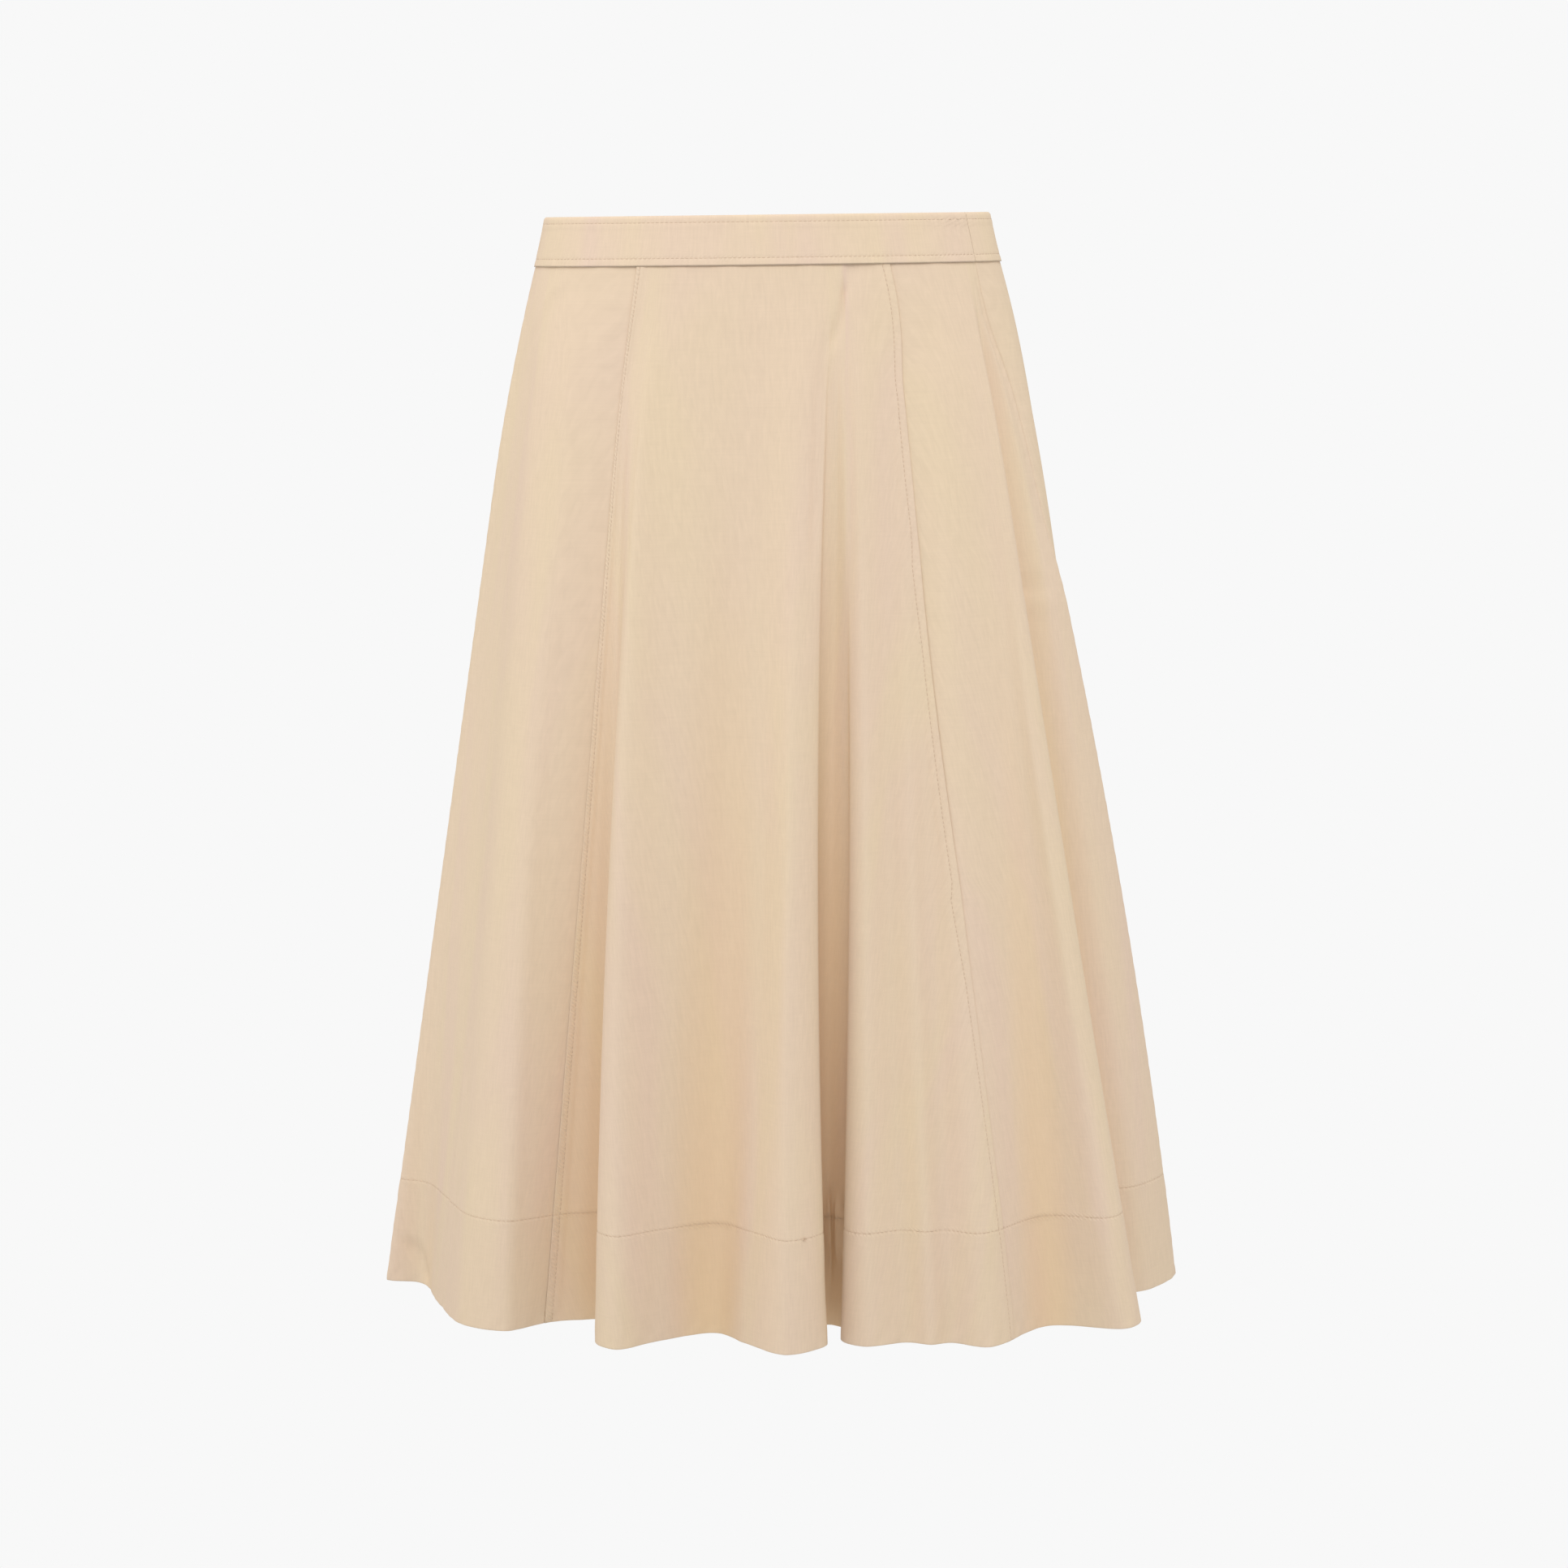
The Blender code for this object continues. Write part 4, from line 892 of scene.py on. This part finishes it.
def band_relief(around, drop):
    """Dents of the stitch rows, the lip's uneven edge and the slack of the cloth between the rows."""
    rows = -TOP_GROOVE * hump(drop - TOP_ROW, 0.0007) - LOW_GROOVE * hump(drop - LOW_ROW, 0.0008)
    imprint = IMPRINT * (1 - smooth(0.0080, 0.0094, drop - 0.0005 * wander(around, 0.11, 2.0)))
    imprint = imprint * (0.6 + 0.4 * wander(around, 0.19, 0.3))
    lip = LIP_WAVE * smooth(LOW_ROW + 0.0008, LOW_ROW + 0.003, drop)
    lip = lip * (1 + 2.0 * wander(around, 0.029, 0.6))
    slack = BAND_SLACK * wander(around + 0.4 * drop, 0.047, 1.9)
    slack = slack * np.sin(np.clip(drop / LOW_ROW, 0, 1) * math.pi)
    small = BAND_PUCKER * wander(around - 0.9 * drop, 0.0087, 2.9)
    small = small * (hump(drop - LOW_ROW, 0.004) + hump(drop - TOP_ROW, 0.003))
    pulled = BAND_PULL * np.sin((drop * 1.6 + around * 0.55) / 0.0042 * 2 * math.pi)
    pulled = pulled * hump(around - SIDE_JOINT + 0.012, 0.016) * hump(drop - 0.008, 0.007)
    return rows + imprint + lip + slack + small + pulled


def band_points(around, down):
    """Drop, level, painted shade under the folded lower edge, and pucker of the band's cloth. down runs
    from the turned edge outside, up the face, over the top fold and down inside to the turned edge there."""
    turn_out = np.clip((FIRST_FACE - down) / FOLD_RADIUS, 0.0, math.pi)
    up = np.maximum(FIRST_FACE - down - FOLD_PATH, 0.0)
    turn_top = np.clip((down - FIRST_TOP) / BAND_FOLD, 0.0, math.pi)
    turn_in = np.clip((down - FIRST_FOOT) / FOLD_RADIUS, 0.0, math.pi)
    up_in = np.maximum(down - FIRST_FOOT - FOLD_PATH, 0.0)
    outside = down < (FIRST_TOP + FIRST_INNER) / 2
    drop = np.where(outside, BAND_DEEP - np.clip(down - FIRST_FACE, 0.0, BAND_DEEP - BAND_FOLD),
                    BAND_FOLD + np.clip(down - FIRST_INNER, 0.0, BAND_DEEP - BAND_FOLD))
    over = (turn_top > 0) & (turn_top < math.pi)
    drop = np.where(over, BAND_FOLD * (1 - np.sin(turn_top)), drop)
    drop = drop - FOLD_RADIUS * (turn_out > 0) * (1 - np.sin(turn_out)) - up
    drop = drop - FOLD_RADIUS * (turn_in > 0) * (1 - np.sin(turn_in)) - up_in
    level = BAND_OUT - BAND_FOLD * (1 - np.cos(turn_top))
    level = level - FOLD_RADIUS * (1 - np.cos(turn_out)) + FOLD_RADIUS * (1 - np.cos(turn_in))
    relief = band_relief(around, drop)
    level = level + np.where(outside, relief, -0.4 * relief)
    # Painted shadow under the band's folded lower edge.
    shade = SEAM_SHADE * smooth(0.3, 1.4, turn_out)
    pucker = 0.4 * hump(drop - TOP_ROW, 0.0014) + 0.7 * hump(drop - LOW_ROW, 0.0018)
    pucker = pucker * (0.7 + 0.4 * wander(around, 0.053, 1.7))
    return drop, level, shade * outside, pucker * outside


OVAL_ANGLES = np.radians(np.linspace(-90.0, 280.0, 1481))
OVAL_RING = np.stack([SEAM_WIDE / 2 * np.sin(OVAL_ANGLES), -SEAM_DEEP / 2 * np.cos(OVAL_ANGLES)], axis=-1)
OVAL_ALONG = np.concatenate([[0.0], np.cumsum(np.linalg.norm(np.diff(OVAL_RING, axis=0), axis=1))])


def along_band(degrees):
    """Metres round the band's lower edge from the wearer's right side."""
    return float(np.interp(math.radians(degrees), OVAL_ANGLES, OVAL_ALONG))


SIDE_JOINT = along_band(62.0)
BAND_ROWS = [0.0, BAND_TURN] + [BAND_TURN + FOLD_PATH * share for share in (0.25, 0.5, 0.75, 1.0)]
BAND_ROWS += [FIRST_FACE + 0.0012, FIRST_FACE + 0.0026]
LOW_STITCHES = FIRST_TOP + BAND_FOLD - LOW_ROW
TOP_STITCHES = FIRST_TOP + BAND_FOLD - TOP_ROW
BAND_ROWS += [LOW_STITCHES + step for step in (-0.0014, -0.0007, 0.0, 0.0007, 0.0014, 0.0024)]
BAND_ROWS += list(np.linspace(LOW_STITCHES + 0.0045, TOP_STITCHES - 0.0058, 8))
BAND_ROWS += [TOP_STITCHES + step for step in (-0.0048, -0.0040, -0.0032, -0.0022, -0.0014, -0.0007,
                                               0.0, 0.0007, 0.0014)]
BAND_ROWS += list(np.linspace(FIRST_TOP, FIRST_INNER, 8))
BAND_ROWS += list(FIRST_INNER + np.linspace(0.004, BAND_DEEP - BAND_FOLD, 7))
BAND_ROWS += [FIRST_FOOT + FOLD_PATH * share for share in (0.33, 0.66, 1.0)]
BAND_ROWS += [FIRST_FOOT + FOLD_PATH + BAND_TURN]

Band = namedtuple("Band", "name first last first_gap last_gap")
BANDS = [Band(*row) for row in (
    ("waistband_front", -84.0, 62.0, 0.00010, 0.00010),
    ("waistband_back_left", 62.0, 180.0, 0.00010, 0.00080),
    ("waistband_back_right", 180.0, 276.0, 0.00080, 0.00010),
)]
for band in BANDS:
    first, last = along_band(band.first), along_band(band.last)
    long = last - first
    ends_in = [0.0, 0.0002, 0.0006]
    columns = ends_in + list(np.linspace(0.0014, long - 0.0014, round(long / BAND_COLUMN)))
    columns += [long - x for x in reversed(ends_in)]
    mesh = flat_sheet(np.array(columns), np.array(BAND_ROWS))
    spots = np.array([vert.co for vert in mesh.verts])
    drop, level, shade, pucker = band_points(first + spots[:, 0], -spots[:, 1])
    inset = band.first_gap + spots[:, 0] * (1 - (band.first_gap + band.last_gap) / long)
    angle = np.interp(first + inset, OVAL_ALONG, OVAL_ANGLES)
    ends = np.minimum(spots[:, 0], long - spots[:, 0])
    level = level - 0.0002 * np.sign(level - BAND_OUT + BAND_FOLD) * (1 - smooth(0.0, 0.0010, ends))
    # Painted shade in the gap where two lengths of band meet.
    shade = shade + 0.03 * hump(ends, 0.0005)
    marks = {"shade": shade, "pucker": pucker, "hollow": np.zeros(len(drop))}
    places = oval_place(angle, drop, level)
    piece = cloth_object(band.name + "_cloth", mesh, spots[:, :2], places, marks)
    piece.data.flip_normals()
    piece.data.materials.append(poplin(band.name + "_poplin"))
    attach(piece, "root")
    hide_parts(band.name)
    print(band.name, "flat", round(long, 3), round(BAND_ROWS[-1], 3))

    around = first + np.linspace(0.001, long - 0.001, LINE_POINTS // 2)
    angle = np.interp(around, OVAL_ALONG, OVAL_ANGLES)
    rows = []
    for row in (LOW_STITCHES, TOP_STITCHES):
        line, side = (oval_place(angle, *band_points(around, np.full(LINE_POINTS // 2, down))[:2])
                      for down in (row, row + BESIDE_LINE))
        rows.append(stitch_row(line, side))
    bead_object(band.name + "_stitches", np.concatenate(rows), thread_look(band.name + "_thread"))

# ---- Zip ------------------------------------------------------------------------------------
# An invisible zip inside the centre back seam: two woven tapes, each with a coil of monofilament
# along its inner edge, and an enamelled slider whose neck comes out through the slit in the band.

ZIP_LONG = 0.220            # from the band's top edge
TAPE_TOP = 0.0010           # the tapes start this far below the edge
TAPE_WIDE = 0.0120
TAPE_THICK = 0.0005
TAPE_EASE = 0.0120          # below the band, the tapes come up against the gores over this much
TAPE_IN_BAND, TAPE_IN_GORE = 0.0029, 0.0015     # how far inside the outer cloth the tapes lie
TAPE_SLOT, TAPE_CLOSED = 0.00080, 0.00018       # half the gap between them, in the band and below
COIL_STEP = 0.00110         # from one turn of the coil to the next
COIL_TURN = (0.00062, 0.00080, 0.00230)         # a turn's width, height and reach across

CENTRE_BACK = CUTS["seam_centre_back"]
TAPE_WAVE = 0.00006         # waves of the tapes' cloth


def zip_place(aside, drop, deeper):
    """A point of the zip. aside: metres from the seam to the wearer's left, along the cloth.
    deeper: metres further in than the tapes' outer face."""
    cut = CENTRE_BACK - aside / speed_at(CENTRE_BACK, drop)
    inset = np.interp(drop, (BAND_DEEP, BAND_DEEP + TAPE_EASE), (TAPE_IN_BAND, TAPE_IN_GORE)) + deeper
    return skirt_place(cut, drop) - skirt_out(cut, drop) * inset[..., None]


def slot_at(drop):
    """Half the gap between the tapes."""
    return np.interp(drop, (BAND_DEEP, BAND_DEEP + TAPE_EASE), (TAPE_SLOT, TAPE_CLOSED))


def tape_look(name):
    """Narrow polyester tape, woven in fine ribs along its length."""
    return two_toned(name, "ShaderNodeTexWave", {"Scale": 260.0, "Distortion": 0.6},
                     ((0.66, 0.51, 0.37, 1.0), (0.76, 0.61, 0.46, 1.0)), (0.5, 0.0002), 0.70)


def enamel(name, roughness):
    """Smooth stoved enamel or nylon in the cloth's colour, very slightly mottled."""
    made = two_toned(name, "ShaderNodeTexNoise", {"Scale": 600.0},
                     ((0.58, 0.44, 0.31, 1.0), (0.64, 0.50, 0.36, 1.0)), None, roughness)
    settle(made.node_tree.nodes["Principled BSDF"], {"Coat Weight": 0.3})
    return made


for name, side in (("zip_tape_left", 1.0), ("zip_tape_right", -1.0)):
    columns = np.array([0.0, 0.0006, 0.0015, 0.0030, 0.0060, 0.0090, 0.0112, TAPE_WIDE])
    rows = np.linspace(TAPE_TOP, ZIP_LONG, 90)
    mesh = flat_sheet(columns, rows)
    spots = np.array([vert.co for vert in mesh.verts])
    drop = -spots[:, 1]
    aside = side * (slot_at(drop) + spots[:, 0] * (1 - slot_at(drop) / TAPE_WIDE))
    places = zip_place(aside, drop, TAPE_WAVE * wander(spots[:, 0] + drop, 0.013, 1.0))
    tape = cloth_object(name + "_cloth", mesh, spots[:, :2], places, {})
    tape.modifiers["thickness"].thickness = TAPE_THICK
    if side > 0:
        tape.data.flip_normals()
    tape.data.materials.append(tape_look(name + "_weave"))
    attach(tape, "root")
    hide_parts(name)

    turns = np.arange(TAPE_TOP + 0.012 + (side > 0) * COIL_STEP / 2, ZIP_LONG - 0.004, COIL_STEP)
    reach = slot_at(turns) * side - side * 0.00035
    middle = zip_place(reach + side * COIL_TURN[2] / 2, turns, TAPE_THICK + COIL_TURN[1] / 2)
    across = unit(zip_place(reach + side * COIL_TURN[2], turns, 0.0) - zip_place(reach, turns, 0.0))
    out = np.cross(across, [0.0, 0.0, 1.0])
    coil = beads(middle, across, out, COIL_TURN)
    bead_object(name + "_coil", coil, enamel(name + "_nylon", 0.45))

PIN_DROP, PIN_OUT = 0.0065, 0.0021      # the pull's pin below the band's top edge, and out from its face
PIN_RADIUS, PIN_HALF = 0.0005, 0.00205
NECK_HALF = 0.00045         # half the width of the slider's neck
EAR_IN, EAR_OUT, EAR_RADIUS = 0.00075, 0.00175, 0.0016      # the pull's two eyes, beside the neck
PULL_LONG, PULL_WIDE, PULL_THICK = 0.0150, 0.0052, 0.0010
PULL_RIB = 0.00012          # how far the pull's middle rib stands off its faces
SLIDER_BEHIND = PIN_OUT + 0.0055        # the slider body's outer face, behind the pin
SLIDER_WIDE, SLIDER_THICK = 0.0052, 0.0020
SLIDER_RISE, SLIDER_FALL = 0.0050, 0.0060
BAND_LEAN = math.atan((SEAM_DEEP - WAIST_DEEP) / 2 / BAND_DEEP)
PIN_PLACE = Vector((0.0, float(half_deep(PIN_DROP)) + 0.0013 + PIN_OUT, -PIN_DROP))


def rounded_block(mesh, low, high, round_off, taper=1.0):
    """Block with rounded edges, its foot narrowed by taper."""
    size = [b - a for a, b in zip(low, high)]
    middle = [(a + b) / 2 for a, b in zip(low, high)]
    placed = Matrix.Translation(middle) @ Matrix.Diagonal(size + [1.0])
    made = bmesh.ops.create_cube(mesh, size=1.0, matrix=placed)
    for vert in made["verts"]:
        if vert.co.z < middle[2]:
            vert.co.x = middle[0] + (vert.co.x - middle[0]) * taper
    edges = list({edge for vert in made["verts"] for edge in vert.link_edges})
    bmesh.ops.bevel(mesh, geom=edges, offset=round_off, segments=3, profile=0.6, affect="EDGES")


def pin_bar(mesh, radius, first, last, round_off):
    """Round bar along X through the pin's place, with rounded ends."""
    turn = Matrix.Translation(((first + last) / 2, 0.0, 0.0)) @ Matrix.Rotation(math.radians(90), 4, "Y")
    made = bmesh.ops.create_cone(mesh, cap_ends=True, segments=24, radius1=radius, radius2=radius,
                                 depth=last - first, matrix=turn)
    rims = [edge for edge in {edge for vert in made["verts"] for edge in vert.link_edges}
            if abs(edge.verts[0].co.x - edge.verts[1].co.x) < 1e-7]
    bmesh.ops.bevel(mesh, geom=rims, offset=round_off, segments=2, profile=0.5, affect="EDGES")


def metal_object(name, mesh, lean, node, body):
    """Finishes a metal piece: carried to the pin, leaning with the band."""
    placed = Matrix.Translation(PIN_PLACE) @ Matrix.Rotation(lean, 4, "X")
    bmesh.ops.transform(mesh, verts=mesh.verts, matrix=placed)
    bmesh.ops.recalc_face_normals(mesh, faces=mesh.faces)
    data = bpy.data.meshes.new(name)
    mesh.to_mesh(data)
    mesh.free()
    data.shade_smooth()
    data.materials.append(enamel(name + "_enamel", 0.32))
    made = bpy.data.objects.new(name, data)
    bpy.context.collection.objects.link(made)
    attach(made, body)
    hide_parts(node)


mesh = bmesh.new()
back, front = -SLIDER_BEHIND - SLIDER_THICK, -SLIDER_BEHIND
rounded_block(mesh, (-SLIDER_WIDE / 2, back, -SLIDER_FALL),
              (SLIDER_WIDE / 2, front, SLIDER_RISE), 0.0005, 0.74)
rounded_block(mesh, (-0.0006, back - 0.0001, -SLIDER_FALL + 0.0012),
              (0.0006, back + 0.0008, SLIDER_RISE - 0.0012), 0.0002)
rounded_block(mesh, (-NECK_HALF, front - 0.0008, -0.0009), (NECK_HALF, 0.0009, 0.0009), 0.0002)
pin_bar(mesh, PIN_RADIUS, -PIN_HALF, PIN_HALF, 0.00012)
metal_object("zip_slider_metal", mesh, BAND_LEAN, "zip_slider", "root")

mesh = bmesh.new()
for side in (-1.0, 1.0):
    first, last = sorted((side * EAR_IN, side * EAR_OUT))
    pin_bar(mesh, EAR_RADIUS, first, last, 0.00025)
    rounded_block(mesh, (first, -PULL_THICK / 2, -0.0030), (last, PULL_THICK / 2, -0.0010), 0.0002)
outline = [(-0.00165, -0.0021), (0.00165, -0.0021)]
foot = PULL_LONG - PULL_WIDE / 2
for step in range(17):
    turn = math.pi * step / 16
    outline.append((PULL_WIDE / 2 * math.cos(turn), -foot - PULL_WIDE / 2 * math.sin(turn)))
face = mesh.faces.new([mesh.verts.new((x, -PULL_THICK / 2, z)) for x, z in outline])
deep = bmesh.ops.extrude_face_region(mesh, geom=[face])["geom"]
other = [item for item in deep if isinstance(item, bmesh.types.BMVert)]
bmesh.ops.translate(mesh, verts=other, vec=(0.0, PULL_THICK, 0.0))
rims = [edge for edge in {edge for vert in list(face.verts) + other for edge in vert.link_edges}
        if abs(edge.verts[0].co.y - edge.verts[1].co.y) < 1e-7]
bmesh.ops.bevel(mesh, geom=rims, offset=0.00025, segments=3, profile=0.5, affect="EDGES")
rounded_block(mesh, (-0.0011, -PULL_THICK / 2 - PULL_RIB, -0.0126),
              (0.0011, PULL_THICK / 2 + PULL_RIB, -0.0060), PULL_RIB, 1.5)
to_face = PIN_OUT - PULL_THICK / 2 - 0.0003
metal_object("zip_pull_metal", mesh, BAND_LEAN - math.asin(to_face / PULL_LONG), "zip_pull", "pull")

# ---- Floor, light and camera ----------------------------------------------------------------
# A pale floor far enough below the hem to catch no hard shadow, a soft light on each side, a
# larger one high in front, and an even sky. Floor and sky look equally pale.

FLOOR_DROP = 1.6
PALE = 0.939                # how bright floor and sky look
SKY = 0.81                  # how much light the sky gives

floor_mesh = bmesh.new()
bmesh.ops.create_grid(floor_mesh, x_segments=1, y_segments=1, size=60.0)
bmesh.ops.translate(floor_mesh, verts=floor_mesh.verts, vec=(0.0, 0.0, -FLOOR_DROP))
floor_data = bpy.data.meshes.new("studio_floor")
floor_mesh.to_mesh(floor_data)
floor_mesh.free()
floor = bpy.data.objects.new("studio_floor", floor_data)
bpy.context.collection.objects.link(floor)
floor_look = bpy.data.materials.new("studio_floor_paint")
floor_look.use_nodes = True
floor_nodes, floor_links = floor_look.node_tree.nodes, floor_look.node_tree.links
paint = settle(floor_nodes["Principled BSDF"], {"Base Color": (0.62, 0.62, 0.62, 1.0),
               "Roughness": 1.0, "Specular IOR Level": 0.0})
pale = settle(floor_nodes.new("ShaderNodeEmission"), {"Strength": PALE})
seen = floor_nodes.new("ShaderNodeLightPath")
either = floor_nodes.new("ShaderNodeMixShader")
floor_links.new(seen.outputs["Is Camera Ray"], either.inputs["Fac"])
floor_links.new(paint.outputs["BSDF"], either.inputs[1])
floor_links.new(pale.outputs["Emission"], either.inputs[2])
floor_links.new(either.outputs["Shader"], floor_nodes["Material Output"].inputs["Surface"])
floor_data.materials.append(floor_look)

world = bpy.data.worlds.new("studio_sky")
world.use_nodes = True
sky_nodes, sky_links = world.node_tree.nodes, world.node_tree.links
sky = settle(sky_nodes["Background"], {"Color": (1.0, 1.0, 1.0, 1.0)})
sky_seen = sky_nodes.new("ShaderNodeLightPath")
sky_level = settle(sky_nodes.new("ShaderNodeMapRange"), {"To Min": SKY, "To Max": PALE})
sky_links.new(sky_seen.outputs["Is Camera Ray"], sky_level.inputs["Value"])
sky_links.new(sky_level.outputs["Result"], sky.inputs["Strength"])
bpy.context.scene.world = world
bpy.context.scene.view_settings.view_transform = "Standard"

Lamp = namedtuple("Lamp", "name place wide high watts")
LAMPS = [Lamp(*row) for row in (
    ("light_right_side", (-2.2, -0.5, 0.2), 1.4, 2.0, 9.5),
    ("light_left_side", (2.2, -0.5, 0.2), 1.4, 2.0, 6.0),
    ("light_high_front", (0.0, -1.8, 1.7), 1.6, 1.2, 24.0),
)]
for lamp in LAMPS:
    panel = bpy.data.lights.new(lamp.name, "AREA")
    panel.shape = "RECTANGLE"
    panel.size, panel.size_y = lamp.wide, lamp.high
    panel.energy = lamp.watts
    holder = bpy.data.objects.new(lamp.name, panel)
    place = Vector(lamp.place)
    aim = (place - Vector((0.0, 0.0, -0.4))).to_track_quat("Z", "Y")
    holder.matrix_world = Matrix.Translation(place) @ aim.to_matrix().to_4x4()
    bpy.context.collection.objects.link(holder)

camera_data = bpy.data.cameras.new("camera")
camera_data.sensor_width = 36.0
camera_data.lens = 93.07
camera = bpy.data.objects.new("camera", camera_data)
camera.matrix_world = (Matrix.Translation((0.0068, -2.8, 0.0)) @ Matrix.Rotation(math.radians(82.0), 4, "X")
                       @ Matrix.Rotation(math.radians(-0.7), 4, "Z"))
bpy.context.collection.objects.link(camera)
bpy.context.scene.camera = camera
